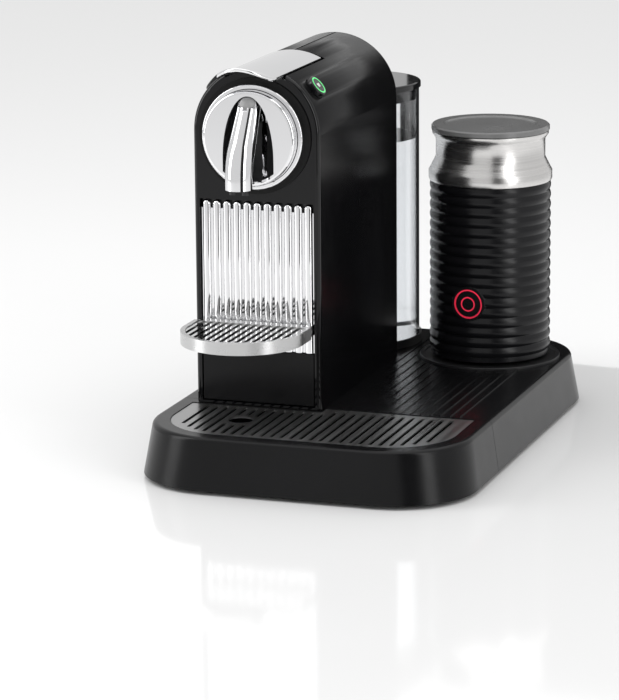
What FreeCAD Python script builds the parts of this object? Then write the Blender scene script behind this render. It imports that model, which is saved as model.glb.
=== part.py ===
"""Pod coffee machine with a milk frother on a shared base.

Millimetres. +X is to the right of someone facing the machine, +Y is to its back and +Z is up.
The origin is on the table, under the middle of the base.
"""
import FreeCAD
import Part
import Sketcher
import math
import os
import re

Vector = FreeCAD.Vector
Rotation = FreeCAD.Rotation

# ---------------------------------------------------------------- driving dimensions
# alias, value, meaning
DIMENSIONS = [
    # base
    ("base_width", 237, "overall width at the foot of the skirt"),
    ("base_depth", 372, "overall depth at the foot of the skirt"),
    ("skirt_top", 38.5, "height of the deck"),
    ("skirt_gap", 3, "height of the skirt's lower edge above the table"),
    ("skirt_flare", 5.3, "how far each side leans in from foot to deck"),
    ("skirt_wall", 3, "wall of the skirt and of the deck"),
    ("corner_round", 58, "plan radius of the base's corners"),
    ("deck_round", 3.5, "rounding between the skirt and the deck"),
    ("split_place", -78.5, "where the drip tray meets the rear base"),
    ("split_gap", 0.5, "gap between the drip tray and the rear base"),
    ("plate_wall", 2, "thickness of the base plate"),
    ("plate_inset", 6, "how far the base plate stays inside the skirt's foot"),
    ("foot_radius", 9, "rubber foot"),
    ("foot_inset", 34, "foot centre in from the foot of the skirt"),
    ("slide_gap", 0.5, "gap under and around pieces that slide"),
    ("ridge_pitch", 7, "pitch of the deck's ridges and of the grid's slots"),
    ("ridge_width", 1.1, "width of a deck ridge"),
    ("ridge_height", 0.6, "height of a deck ridge"),
    ("ridge_start", -1.5, "place of the leftmost ridge"),
    ("ridge_count", 14, "number of deck ridges"),
    # drip tray and grid
    ("tray_margin", 11.6, "width of the tray's rim around the grid"),
    ("tray_ledge", 4, "width of the ledge that carries the grid"),
    ("tray_floor", 2.5, "thickness of the tray's floor"),
    ("basin_wall", 2.2, "wall of the tray's basin"),
    ("grid_thick", 1.2, "thickness of the drip grid"),
    ("grid_sink", 0.5, "how far the grid's top lies below the deck"),
    ("grid_gap", 0.4, "gap around the grid"),
    ("grid_edge", 6, "solid border of the grid"),
    ("grid_border", 3, "solid border beside the body's foot"),
    ("slot_width", 2.7, "width of a grid slot"),
    ("slot_count", 28, "number of grid slots"),
    ("finger_radius", 8.7, "finger hole in the grid"),
    ("finger_place", -124, "depth place of the finger hole"),
    ("finger_land", 3.6, "solid land around the finger hole"),
    # brewing body
    ("body_place", -52.8, "middle of the brewing body across the base"),
    ("body_radius", 45.8, "radius of the body's arched top, half its width"),
    ("body_height", 277, "top of the body above the table"),
    ("body_front", -87.6, "front face of the body"),
    ("body_back", 88.9, "back face of the body"),
    ("shell_wall", 2.5, "wall of the outer shells"),
    ("shell_seam", 1.2, "seam between the two shells"),
    ("panel_wall", 3.2, "thickness of the front and rear panels"),
    ("panel_round", 3, "rounding of the panels' outer edges"),
    ("panel_gap", 0.3, "joint between a panel and the shells"),
    # lever
    ("lever_half", 20.8, "half width of the lever plate"),
    ("lever_wall", 2.2, "thickness of the lever plate"),
    ("lever_proud", 0.6, "how far the lever plate stands above the shell"),
    ("lever_groove", 1.1, "groove around the lever plate"),
    ("lever_back", -9, "back edge of the lever plate"),
    ("lever_front", -102, "where the lever plate turns into its tongue"),
    ("tongue_curl", 62, "radius by which the tongue curls upward"),
    ("pivot_place", -25, "depth place of the lever's pin"),
    ("pivot_height", 262, "height of the lever's pin"),
    ("pin_radius", 2.5, "lever pin"),
    ("pin_fit", 0.06, "running clearance around a pin"),
    ("arm_wall", 4, "thickness of a lever arm"),
    ("arm_place", 17, "middle of a lever arm from the body's middle"),
    # frame inside the body
    ("frame_wall", 2.5, "wall of the inner frame"),
    ("frame_half", 22, "half width of the frame around the brewing unit"),
    ("frame_top", 265.2, "top of the frame's side plates"),
    ("frame_low", 196, "foot of the frame's side plates"),
    ("frame_back", 25, "back of the frame's cross wall"),
    ("guide_top", 254.5, "top of the capsule guide"),
    # brewing head
    ("head_height", 229.5, "height of the head's axis"),
    ("disc_radius", 33.2, "chrome disc"),
    ("disc_proud", 15.5, "how far the disc stands out of the front"),
    ("disc_wall", 3, "thickness of the disc's face"),
    ("disc_rim", 2.4, "wall of the disc's rim"),
    ("ring_radius", 36.3, "outside of the chrome ring"),
    ("ring_proud", 7.7, "how far the ring stands out of the front"),
    ("ring_gap", 0.35, "gap between ring and disc"),
    ("bezel_radius", 40.4, "outside of the black bezel"),
    ("bezel_proud", 1.4, "how far the bezel stands out of the front"),
    ("recess_half", 18.4, "half width of the arched recess in the disc"),
    ("recess_bend", 215, "height where the recess starts to narrow"),
    ("recess_rise", 44, "height of the recess's narrowing part"),
    ("recess_land", 3.7, "rim left between the recess and the disc's edge"),
    ("core_front", -80, "front face of the black brewing head"),
    ("core_back", -66, "back face of the black brewing head"),
    ("spout_radius", 9.3, "coffee spout at its outlet"),
    ("spout_neck", 7.9, "coffee spout at its domed top"),
    ("spout_reach", -121.7, "depth place of the spout's outlet"),
    ("spout_low", 198.2, "lower end of the spout"),
    ("spout_bend", 38, "bend radius of the spout"),
    ("spout_knee", 203.5, "height where the bend starts"),
    ("spout_lean", 31, "lean of the spout's upper run, degrees"),
    ("spout_run", 32, "length of the upper run"),
    ("plug_radius", 6.2, "ball set in the top of the spout"),
    ("plug_offset", 2.6, "ball's middle from the middle of the dome"),
    ("plug_lean", 42, "lean of the ball's way out from level, degrees"),
    ("neck_radius", 4, "black neck that carries the spout"),
    ("neck_height", 241.8, "height of the neck's axis"),
    ("arch_half", 7.9, "middle of an arch leg behind the spout from the body's middle"),
    ("arch_wall", 3.4, "width of the chrome arch behind the spout"),
    ("arch_front", -91.6, "front face of the chrome arch"),
    ("arch_high", 257.2, "top of the chrome arch"),
    ("arch_low", 201, "foot of the chrome arch"),
    ("nozzle_radius", 2.2, "coffee nozzle"),
    ("nozzle_spread", 4.6, "nozzle from the spout's middle"),
    ("nozzle_drop", 3.8, "how far the nozzles show below the spout"),
    # capsule container and cup shelf
    ("cage_front", -62.5, "front of the capsule cage, closed"),
    ("cage_travel", 22, "travel of the capsule cage"),
    ("bin_half", 40.9, "half width of the capsule container's front"),
    ("bin_gap", 0.6, "gap around the container's front"),
    ("bin_low", 2.6, "container's foot above the deck"),
    ("bin_top", 183.2, "top of the container's front"),
    ("bin_wall", 2, "wall of the capsule container"),
    ("bin_height", 150, "top of the container's side walls"),
    ("bin_back", 12, "back of the capsule container"),
    ("flute_low", 79, "foot of the fluted panel"),
    ("flute_pitch", 7.42, "pitch of the flutes"),
    ("flute_radius", 3.1, "radius of a flute"),
    ("flute_count", 11, "number of flutes"),
    ("flute_plate", 2.2, "thickness of the plate behind the flutes"),
    ("flute_rise", 6, "how far the flutes stand above that plate"),
    ("shelf_height", 100.2, "top of the cup shelf"),
    ("shelf_depth", 8.6, "height of the shelf's band"),
    ("shelf_half", 42.8, "half width of the cup shelf"),
    ("shelf_straight", 30, "body's front to the middle of the shelf's round end"),
    ("shelf_floor", 1.6, "thickness of the floor under the shelf's bars"),
    ("shelf_band", 3.2, "wall of the shelf's band"),
    ("shelf_sink", 0.8, "how far the bars lie below the band's top"),
    ("bar_pitch", 5.4, "pitch of the shelf's bars"),
    ("bar_width", 2.6, "width of a bar"),
    ("bar_count", 15, "number of bars"),
    ("hinge_radius", 2, "cup shelf's hinge pin"),
    ("hinge_place", 5.8, "hinge pin in front of the body's face"),
    ("lug_wall", 4, "thickness of a hinge lug"),
    # works
    ("pump_shelf", 60, "height of the pump's shelf"),
    ("pump_radius", 19, "pump"),
    ("tube_place", 40, "depth place where the water tube enters the body"),
    ("tube_radius", 3, "water tube"),
    ("heater_low", 150, "underside of the thermoblock"),
    ("heater_high", 215, "top of the thermoblock"),
    ("gland_radius", 6.5, "cord gland"),
    ("gland_across", -20, "cord gland across the base"),
    ("gland_height", 18, "height of the cord gland"),
    ("screw_radius", 1.6, "screw shank"),
    ("boss_radius", 4.5, "screw boss"),
    # coffee buttons
    ("button_radius", 7.8, "coffee button"),
    ("button_proud", 4, "how far a button stands out of the shell"),
    ("button_lean", 50.5, "lean of the button's axis from upright, degrees"),
    ("button_place", -65.5, "depth place of the buttons"),
    ("button_gap", 0.4, "gap around a button"),
    ("button_stroke", 1.8, "travel of a coffee button"),
    ("contact_radius", 3, "switch under a coffee button"),
    ("contact_back", 3.5, "switch behind the button's axis"),
    ("light_outer", 6.5, "outside of a button's lit ring"),
    ("light_inner", 5.5, "inside of a button's lit ring"),
    # water tank
    ("tank_place", 133.3, "depth place of the tank's axis"),
    ("tank_radius", 46.1, "water tank"),
    ("tank_wall", 2, "wall of the water tank"),
    ("tank_low", 41, "underside of the water tank"),
    ("tank_high", 230.2, "rim of the water tank"),
    ("tank_gap", 0.8, "gap between the tank and the body"),
    ("seat_floor", 2, "floor of the tank's seat"),
    ("seat_rim", 1.4, "wall of the tank seat's rim"),
    ("seat_rise", 6, "height of the tank seat's rim"),
    ("cap_wall", 4.4, "thickness of the tank lid's rim"),
    ("cap_over", 1.3, "overhang of the tank lid"),
    ("cap_plug", 8.6, "depth of the lid's plug"),
    ("cap_fit", 0.5, "gap between the lid's plug and the tank"),
    ("valve_radius", 7, "tank valve"),
    ("valve_stem", 3, "stem of the tank valve"),
    # frother
    ("jug_across", 56.8, "middle of the frother across the base"),
    ("jug_place", 111.3, "depth place of the frother"),
    ("jug_turn", -5, "how the frother is turned on its seat, degrees"),
    ("pad_radius", 51.5, "frother seat"),
    ("pad_rise", 1.6, "height of the seat's rim"),
    ("pad_floor", 1, "thickness of the seat's floor"),
    ("pad_band", 3.4, "width of the seat's rim"),
    ("jug_low", 41.6, "underside of the frother"),
    ("sleeve_radius", 44.3, "sleeve at the crest of a rib"),
    ("sleeve_wall", 2.2, "wall of the sleeve"),
    ("rib_depth", 1.3, "depth of the grooves between ribs"),
    ("rib_count", 17, "number of ribs"),
    ("sleeve_high", 170.6, "top of the sleeve"),
    ("bulge_radius", 45.1, "steel band above the sleeve"),
    ("bulge_high", 179.5, "top of the steel band"),
    ("throat_radius", 39.9, "steel neck"),
    ("throat_low", 187.8, "foot of the neck"),
    ("throat_high", 203.6, "top of the neck"),
    ("lip_radius", 42.4, "rim of the frother"),
    ("lip_high", 206.6, "height of the frother's rim"),
    ("cup_wall", 1, "wall of the steel cup"),
    ("cup_floor", 86, "underside of the steel cup"),
    ("lid_radius", 43.1, "frother lid"),
    ("lid_wall", 4.2, "thickness of the frother lid"),
    ("lid_gap", 0.4, "gap under and around the frother lid"),
    ("lid_plug", 7.5, "depth of the lid's plug"),
    ("lid_dish", 33, "radius of the lid's sunk middle"),
    ("knob_radius", 8.5, "whisk holder under the frother lid"),
    ("gasket_wall", 1.2, "section of the lid's gasket"),
    ("switch_height", 85.4, "height of the frother button"),
    ("switch_radius", 9.2, "frother button"),
    ("switch_bezel", 12.4, "flat around the frother button"),
    ("glow_radius", 10.7, "outside of the lit ring around the frother button"),
    ("glow_width", 1, "width of a lit ring on the frother"),
    ("dot_radius", 5.4, "outside of the lit ring on the frother button"),
    ("rotor_radius", 16, "magnet rotor under the cup"),
    ("whisk_radius", 17, "whisk ring"),
    ("hub_radius", 13, "contact hub of the frother seat"),
    ("hub_rise", 7, "height of the contact hub"),
]

NAMES = {alias for alias, value, note in DIMENSIONS}
WORD = re.compile(r"[A-Za-z_]\w*")

doc = FreeCAD.newDocument("PodCoffeeMachine")
sheet = doc.addObject("Spreadsheet::Sheet", "Dims")
for row, (alias, value, note) in enumerate(DIMENSIONS, start=1):
    sheet.set(f"A{row}", note)
    sheet.set(f"B{row}", str(value))
    sheet.setAlias(f"B{row}", alias)
notes = doc.addObject("Spreadsheet::Sheet", "Work")
doc.recompute()

NODES = {}                      # node name -> document object


# ---------------------------------------------------------------- small helpers
def spell(text):
    """Turn 'body_radius - 2' into an expression that reads the Dims sheet."""
    return WORD.sub(lambda word: "Dims." + word[0] if word[0] in NAMES else word[0], str(text))


def bind(item, prop, text):
    item.setExpression(prop, spell(text))


def measure(*texts):
    """Numbers that the given expressions have now."""
    for row, text in enumerate(texts, start=1):
        notes.set(f"A{row}", "=" + spell(text))
    notes.recompute()
    return [float(notes.get(f"A{row}")) for row in range(1, len(texts) + 1)]


def value(text):
    return measure(text)[0]


def put(item, x=None, y=None, z=None):
    """Bind an object's place."""
    for letter, text in (("x", x), ("y", y), ("z", z)):
        if text is not None:
            bind(item, f"Placement.Base.{letter}", text)
    return item


AXIS_TURN = {
    "X": Rotation(Vector(0, 1, 0), 90),
    "Y": Rotation(Vector(1, 0, 0), -90),
    "Z": Rotation(),
}


def box(name, xs, ys, zs):
    """Block between the given low and high expressions."""
    item = doc.addObject("Part::Box", name)
    for prop, (low, high) in (("Length", xs), ("Width", ys), ("Height", zs)):
        bind(item, prop, f"({high}) - ({low})")
    return put(item, xs[0], ys[0], zs[0])


def lay(item, axis, span, at):
    """Turn an upright round solid along an axis and place it."""
    item.Placement.Rotation = AXIS_TURN[axis]
    across = dict(X=("y", "z"), Y=("x", "z"), Z=("x", "y"))[axis]
    bind(item, "Height", f"({span[1]}) - ({span[0]})")
    put(item, **{axis.lower(): span[0], across[0]: at[0], across[1]: at[1]})
    return item


def cylinder(name, radius, span, at, axis="Z"):
    """Cylinder along an axis; at holds its other two coordinates."""
    item = doc.addObject("Part::Cylinder", name)
    bind(item, "Radius", radius)
    return lay(item, axis, span, at)


def cone(name, radii, span, at, axis="Z"):
    item = doc.addObject("Part::Cone", name)
    bind(item, "Radius1", radii[0])
    bind(item, "Radius2", radii[1])
    return lay(item, axis, span, at)


def sphere(name, radius, at):
    item = doc.addObject("Part::Sphere", name)
    bind(item, "Radius", radius)
    return put(item, *at)


def torus(name, ring, section, at):
    item = doc.addObject("Part::Torus", name)
    bind(item, "Radius1", ring)
    bind(item, "Radius2", section)
    return put(item, *at)


def fuse(name, *items):
    item = doc.addObject("Part::MultiFuse", name)
    item.Shapes = list(items)
    item.Refine = True
    return item


def cut(name, base, *tools):
    tool = tools[0] if len(tools) == 1 else fuse(name + "_tools", *tools)
    item = doc.addObject("Part::Cut", name)
    item.Base = base
    item.Tool = tool
    item.Refine = True
    return item


def common(name, first, second):
    item = doc.addObject("Part::Common", name)
    item.Base = first
    item.Tool = second
    item.Refine = True
    return item


def group(name, *items):
    """Separate solids that share one node."""
    item = doc.addObject("Part::Compound", name)
    item.Links = list(items)
    return item


def soften(name, base, radius, pick):
    """Round the edges for which pick(edge) holds."""
    doc.recompute()
    chosen = [index for index, edge in enumerate(base.Shape.Edges, start=1) if pick(edge)]
    if not chosen:
        raise RuntimeError(f"{name}: no edge to round")
    item = doc.addObject("Part::Fillet", name)
    item.Base = base
    item.Edges = [(index, radius, radius) for index in chosen]
    return item


def all_at(letter, place):
    """Edge test: the whole edge lies at one x, y or z."""
    def test(edge):
        limits = edge.BoundBox
        low = getattr(limits, letter.upper() + "Min")
        high = getattr(limits, letter.upper() + "Max")
        return abs(low - place) < 0.01 and abs(high - place) < 0.01
    return test


def upright(edge):
    """Edge test: the edge runs up and down."""
    if len(edge.Vertexes) != 2:
        return False
    first, last = (vertex.Point for vertex in edge.Vertexes)
    rise = abs(first.z - last.z)
    return rise > 0.8 * first.distanceToPoint(last) and rise > 0.1


def profile(name, plane, points):
    """PartDesign body with a closed outline; each point is a pair of expressions."""
    body = doc.addObject("PartDesign::Body", name)
    sketch = body.newObject("Sketcher::SketchObject", name + "_outline")
    origin = next(item for item in body.Origin.OriginFeatures if item.Role == plane)
    sketch.AttachmentSupport = [(origin, "")]
    sketch.MapMode = "FlatFace"
    flat = measure(*[text for point in points for text in point])
    corners = [Vector(flat[2 * i], flat[2 * i + 1], 0) for i in range(len(points))]
    count = len(corners)
    for i in range(count):
        sketch.addGeometry(Part.LineSegment(corners[i], corners[(i + 1) % count]))
    for i in range(count):
        sketch.addConstraint(Sketcher.Constraint("Coincident", i, 2, (i + 1) % count, 1))
    for i, (across, up) in enumerate(points):
        for kind, text, number, line in (("DistanceX", across, corners[i].x, -2),
                                         ("DistanceY", up, corners[i].y, -1)):
            if str(text) == "0":
                sketch.addConstraint(Sketcher.Constraint("PointOnObject", i, 1, line))
                continue
            index = sketch.addConstraint(Sketcher.Constraint(kind, -1, 1, i, 1, number))
            bind(sketch, f"Constraints[{index}]", text)
    return body, sketch


def turned(name, points, at=("0", "0")):
    """Solid of revolution about an upright axis; points are (radius, height)."""
    body, sketch = profile(name, "XZ_Plane", points)
    spin = body.newObject("PartDesign::Revolution", name + "_turn")
    spin.Profile = sketch
    spin.ReferenceAxis = (sketch, ["V_Axis"])
    spin.Angle = 360
    body.Tip = spin
    return put(body, at[0], at[1])


def node(name, item):
    """Name an object as one of the machine's pieces."""
    item.Label = name
    NODES[name] = item
    return item


# ---------------------------------------------------------------- shared places
AXIS_HEIGHT = "body_height - body_radius"          # axis of the body's arched top
MIDDLE = "body_place"
HALF_DEPTH = "base_depth / 2"
DECK = "skirt_top"
TOP_FRONT = f"(-{HALF_DEPTH} + skirt_flare)"
TOP_HALF = "(base_width / 2 - skirt_flare)"


def arch(name, radius, ys, low=DECK):
    """Block with a half-round top, the section of the brewing body."""
    round_top = cylinder(name + "_round", radius, ys, (MIDDLE, AXIS_HEIGHT), "Y")
    block = box(name + "_block", (f"{MIDDLE} - ({radius})", f"{MIDDLE} + ({radius})"), ys,
                (low, AXIS_HEIGHT))
    return fuse(name, round_top, block)


def skirt_form(name, inset, low, high):
    """Tapered block with the base's plan, moved in by inset."""
    def half(across, level):
        lean = f"skirt_flare * (({level}) - skirt_gap) / (skirt_top - skirt_gap)"
        return f"{across} / 2 - {lean} - ({inset})"
    block = doc.addObject("Part::Wedge", name + "_block")
    block.Placement.Rotation = Rotation(Vector(1, 0, 0), 90)
    bind(block, "Ymin", low)
    bind(block, "Ymax", high)
    for across, letter in (("base_width", "X"), ("base_depth", "Z")):
        bind(block, f"{letter}min", f"-({half(across, low)})")
        bind(block, f"{letter}max", half(across, low))
        bind(block, f"{letter}2min", f"-({half(across, high)})")
        bind(block, f"{letter}2max", half(across, high))
    return soften(name, block, value(f"corner_round - ({inset})"), upright)


def plan_form(name, margin, low, high, back=None):
    """Straight-sided block inside the deck's outline, moved in by margin, open to the back."""
    back = back or "split_place - split_gap / 2"
    block = box(name + "_block", (f"-{TOP_HALF} + ({margin})", f"{TOP_HALF} - ({margin})"),
                (f"{TOP_FRONT} + ({margin})", f"{back} + 100"), (low, high))
    doc.recompute()
    front = value(f"{TOP_FRONT} + ({margin})")
    rounded = soften(name + "_round", block, value(f"corner_round - ({margin})"),
                     lambda edge: upright(edge) and abs(edge.BoundBox.YMin - front) < 0.01)
    keep = box(name + "_keep", ("-base_width", "base_width"), ("-base_depth", back),
               (low, high))
    return common(name, rounded, keep)


# ---------------------------------------------------------------- base
def build_base():
    outer = skirt_form("skirt_outer", "0", "skirt_gap", DECK)
    top = value(DECK)
    outer = soften("skirt_rounded", outer, value("deck_round"), all_at("z", top))
    inner = skirt_form("skirt_inner", "skirt_wall", "skirt_gap", f"{DECK} - skirt_wall")

    # rear base: skirt, deck and the wall that faces the drip tray
    behind = ("split_place + split_gap / 2", "base_depth")
    rear_solid = common("rear_solid", outer,
                        box("rear_zone", ("-base_width", "base_width"), behind, ("0", "base_depth")))
    rear_hollow = common("rear_hollow", inner,
                         box("rear_room", ("-base_width", "base_width"),
                             (behind[0] + " + skirt_wall", "base_depth"), ("0", "base_depth")))
    ridges = []
    for index in range(int(value("ridge_count"))):
        across = f"ridge_start + {index} * ridge_pitch"
        ridges.append(box(f"ridge_{index}", (f"{across} - ridge_width / 2", f"{across} + ridge_width / 2"),
                          (behind[0] + " + 1.5", f"{HALF_DEPTH} - skirt_flare - 20"),
                          (f"{DECK} - 0.2", f"{DECK} + ridge_height")))
    ridges = cut("ridges", fuse("ridge_set", *ridges),
                 cylinder("ridge_clear", "pad_radius + 1.5", (f"{DECK} - 1", f"{DECK} + 2"),
                          ("jug_across", "jug_place")))
    water_hole = cylinder("water_hole", "valve_stem + 2", (f"{DECK} - skirt_wall - 1", f"{DECK} + 1"),
                          (MIDDLE, "tank_place"))
    tube_hole = cylinder("tube_hole", "6", (f"{DECK} - skirt_wall - 1", f"{DECK} + 1"),
                         (MIDDLE, "tube_place"))
    hub_hole = cylinder("hub_hole", "hub_radius - 5", (f"{DECK} - skirt_wall - 1", f"{DECK} + 1"),
                        ("jug_across", "jug_place"))
    cord_hole = cylinder("cord_hole", "gland_radius", (f"{HALF_DEPTH} - 14", f"{HALF_DEPTH} + 1"),
                         ("gland_across", "gland_height"), "Y")
    plate_room = skirt_form("plate_room", "plate_inset - 0.3", "skirt_gap - 1", "skirt_gap + plate_wall")
    shell = cut("rear_shell", rear_solid, rear_hollow, plate_room, water_hole, tube_hole, hub_hole, cord_hole)
    bosses = []
    screws = []
    holes = []
    for side in (-1, 1):
        for place in ("split_place + 18", f"{HALF_DEPTH} - 42"):
            at = (f"{side} * ({TOP_HALF} - 18)", place)
            tag = f"{side}_{len(bosses)}".replace("-", "n")
            boss = cylinder(f"boss_{tag}", "boss_radius",
                            ("skirt_gap + plate_wall", f"{DECK} - skirt_wall / 2"), at)
            bore = cylinder(f"boss_bore_{tag}", "screw_radius", ("0", f"{DECK} / 2"), at)
            bosses.append(cut(f"boss_cut_{tag}", boss, bore))
            head = cylinder(f"screw_head_{tag}", "screw_radius + 1.4",
                            ("skirt_gap + 0.2", "skirt_gap + 1.3"), at)
            shank = cylinder(f"screw_shank_{tag}", "screw_radius - 0.02",
                             ("skirt_gap + 1.2", f"{DECK} / 2 - 1"), at)
            screws.append(fuse(f"screw_{tag}", head, shank))
            holes.append(cylinder(f"screw_hole_{tag}", "screw_radius + 0.15",
                                  ("0", "skirt_gap + plate_wall + 1"), at))
            holes.append(cylinder(f"screw_sink_{tag}", "screw_radius + 1.5", ("0", "skirt_gap + 1.3"), at))
    node("base_screws", group("screws", *screws))
    node("rear_base", fuse("rear_deck", shell, ridges, *bosses))

    # plate under the whole base, with the feet below it
    plate = skirt_form("plate_form", "plate_inset", "skirt_gap", "skirt_gap + plate_wall")
    node("base_plate", cut("plate_cut", plate, *holes))
    feet = []
    for side in (-1, 1):
        for end in (-1, 1):
            feet.append(cylinder(f"foot_{side}_{end}".replace("-", "n"), "foot_radius", ("0", "skirt_gap"),
                                 (f"{side} * (base_width / 2 - foot_inset)",
                                  f"{end} * ({HALF_DEPTH} - foot_inset)")))
    node("rubber_feet", group("feet", *feet))

    gland = fuse("gland",
                 cylinder("gland_flange", "gland_radius + 3", (f"{HALF_DEPTH} - 2.2", f"{HALF_DEPTH} - 0.2"),
                          ("gland_across", "gland_height"), "Y"),
                 cylinder("gland_barrel", "gland_radius - 0.05", (f"{HALF_DEPTH} - 14", f"{HALF_DEPTH} - 1"),
                          ("gland_across", "gland_height"), "Y"))
    gland = cut("gland_bored", gland,
                cylinder("gland_bore", "3.6", (f"{HALF_DEPTH} - 20", f"{HALF_DEPTH} + 5"),
                         ("gland_across", "gland_height"), "Y"))
    outer_wall = common("gland_trim", gland, box("gland_zone", ("-base_width", "base_width"),
                                                 ("0", HALF_DEPTH), ("0", DECK)))
    # the skirt leans, so the flange is let into it
    node("cord_gland", cut("cord_gland_fit", outer_wall, shell))
    return outer, inner


NOTCH_SIDE = "body_place + body_radius + 1"        # the grid is cut out around the body's foot
NOTCH_FRONT = "body_front - 1"


def body_notch(name, grow):
    """Room around the foot of the brewing body, in the drip tray's plan."""
    return box(name, ("-base_width", f"{NOTCH_SIDE} + ({grow})"), (f"{NOTCH_FRONT} - ({grow})", "0"),
               ("0", "base_depth"))


def build_tray(outer, inner):
    back = "split_place - split_gap / 2"
    wide = ("-base_width", "base_width")
    solid = common("tray_solid", outer,
                   box("tray_zone", wide, ("-base_depth", back), ("0", "base_depth")))
    floor = "skirt_gap + plate_wall + slide_gap"
    inside = "tray_margin + tray_ledge"
    basin_out = plan_form("basin_out", f"{inside} - basin_wall", floor, DECK)
    basin_in = cut("basin_in",
                   plan_form("basin_room", inside, f"{floor} + tray_floor", DECK, back=f"{back} - basin_wall"),
                   body_notch("basin_notch", "tray_ledge"))
    pocket = cut("grid_pocket",
                 plan_form("grid_room", "tray_margin", f"{DECK} - grid_sink - grid_thick", f"{DECK} + 5"),
                 body_notch("pocket_notch", "-grid_gap"))
    below = common("tray_below", inner,
                   box("tray_below_zone", wide, ("-base_depth", f"{back} - basin_wall"),
                       ("0", f"{DECK} - skirt_wall - 2")))
    under = skirt_form("tray_under", "plate_inset - 1.5", "skirt_gap - 1", floor)
    node("drip_tray", cut("tray_cut", solid, cut("tray_hollow", below, basin_out), basin_in, pocket, under))

    # slotted grid
    low = f"{DECK} - grid_sink - grid_thick"
    high = f"{DECK} - grid_sink"
    plate = cut("grid_plate",
                plan_form("grid_sheet", "tray_margin + grid_gap", low, high, back=f"{back} - 0.2"),
                body_notch("grid_notch", "0"))
    half, front_edge, back_edge, border, pitch, width = measure(
        f"{TOP_HALF} - tray_margin - grid_gap", f"{TOP_FRONT} + tray_margin + grid_gap",
        f"{back} - 0.2", "grid_edge", "ridge_pitch", "slot_width")
    radius, hole_x, hole_y, land = measure("corner_round - tray_margin - grid_gap", MIDDLE,
                                           "finger_place", "finger_radius + finger_land")
    notch_x, notch_y, near = measure(NOTCH_SIDE, NOTCH_FRONT, "grid_border")
    count = int(value("slot_count"))
    slots = [cylinder("finger_hole", "finger_radius", (f"{low} - 1", f"{high} + 1"),
                      (MIDDLE, "finger_place"))]
    for index in range(count):
        across = (index - (count - 1) / 2) * pitch
        over = max(0.0, abs(across) + width / 2 - (half - radius))
        if over > radius - border:
            continue
        start = front_edge + radius - math.sqrt((radius - border) ** 2 - over ** 2)
        last = notch_y - near if across - width / 2 < notch_x + near else back_edge - border
        stretches = [(start, last)]
        beside = abs(across - hole_x) - width / 2
        if beside < land:
            reach = math.sqrt(land ** 2 - max(0.0, beside) ** 2)
            stretches = [(start, hole_y - reach), (hole_y + reach, last)]
        for part, (first, end) in enumerate(stretches):
            slot = box(f"slot_{index}_{part}",
                       (f"({index} - (slot_count - 1) / 2) * ridge_pitch - slot_width / 2",
                        f"({index} - (slot_count - 1) / 2) * ridge_pitch + slot_width / 2"),
                       (f"{first:.3f}", f"{end:.3f}"), (f"{low} - 1", f"{high} + 1"))
            slots.append(soften(f"slot_{index}_{part}_ends", slot, width / 2 * 0.98, upright))
    node("drip_grid", cut("grid_cut", plate, group("grid_slots", *slots)))


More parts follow.
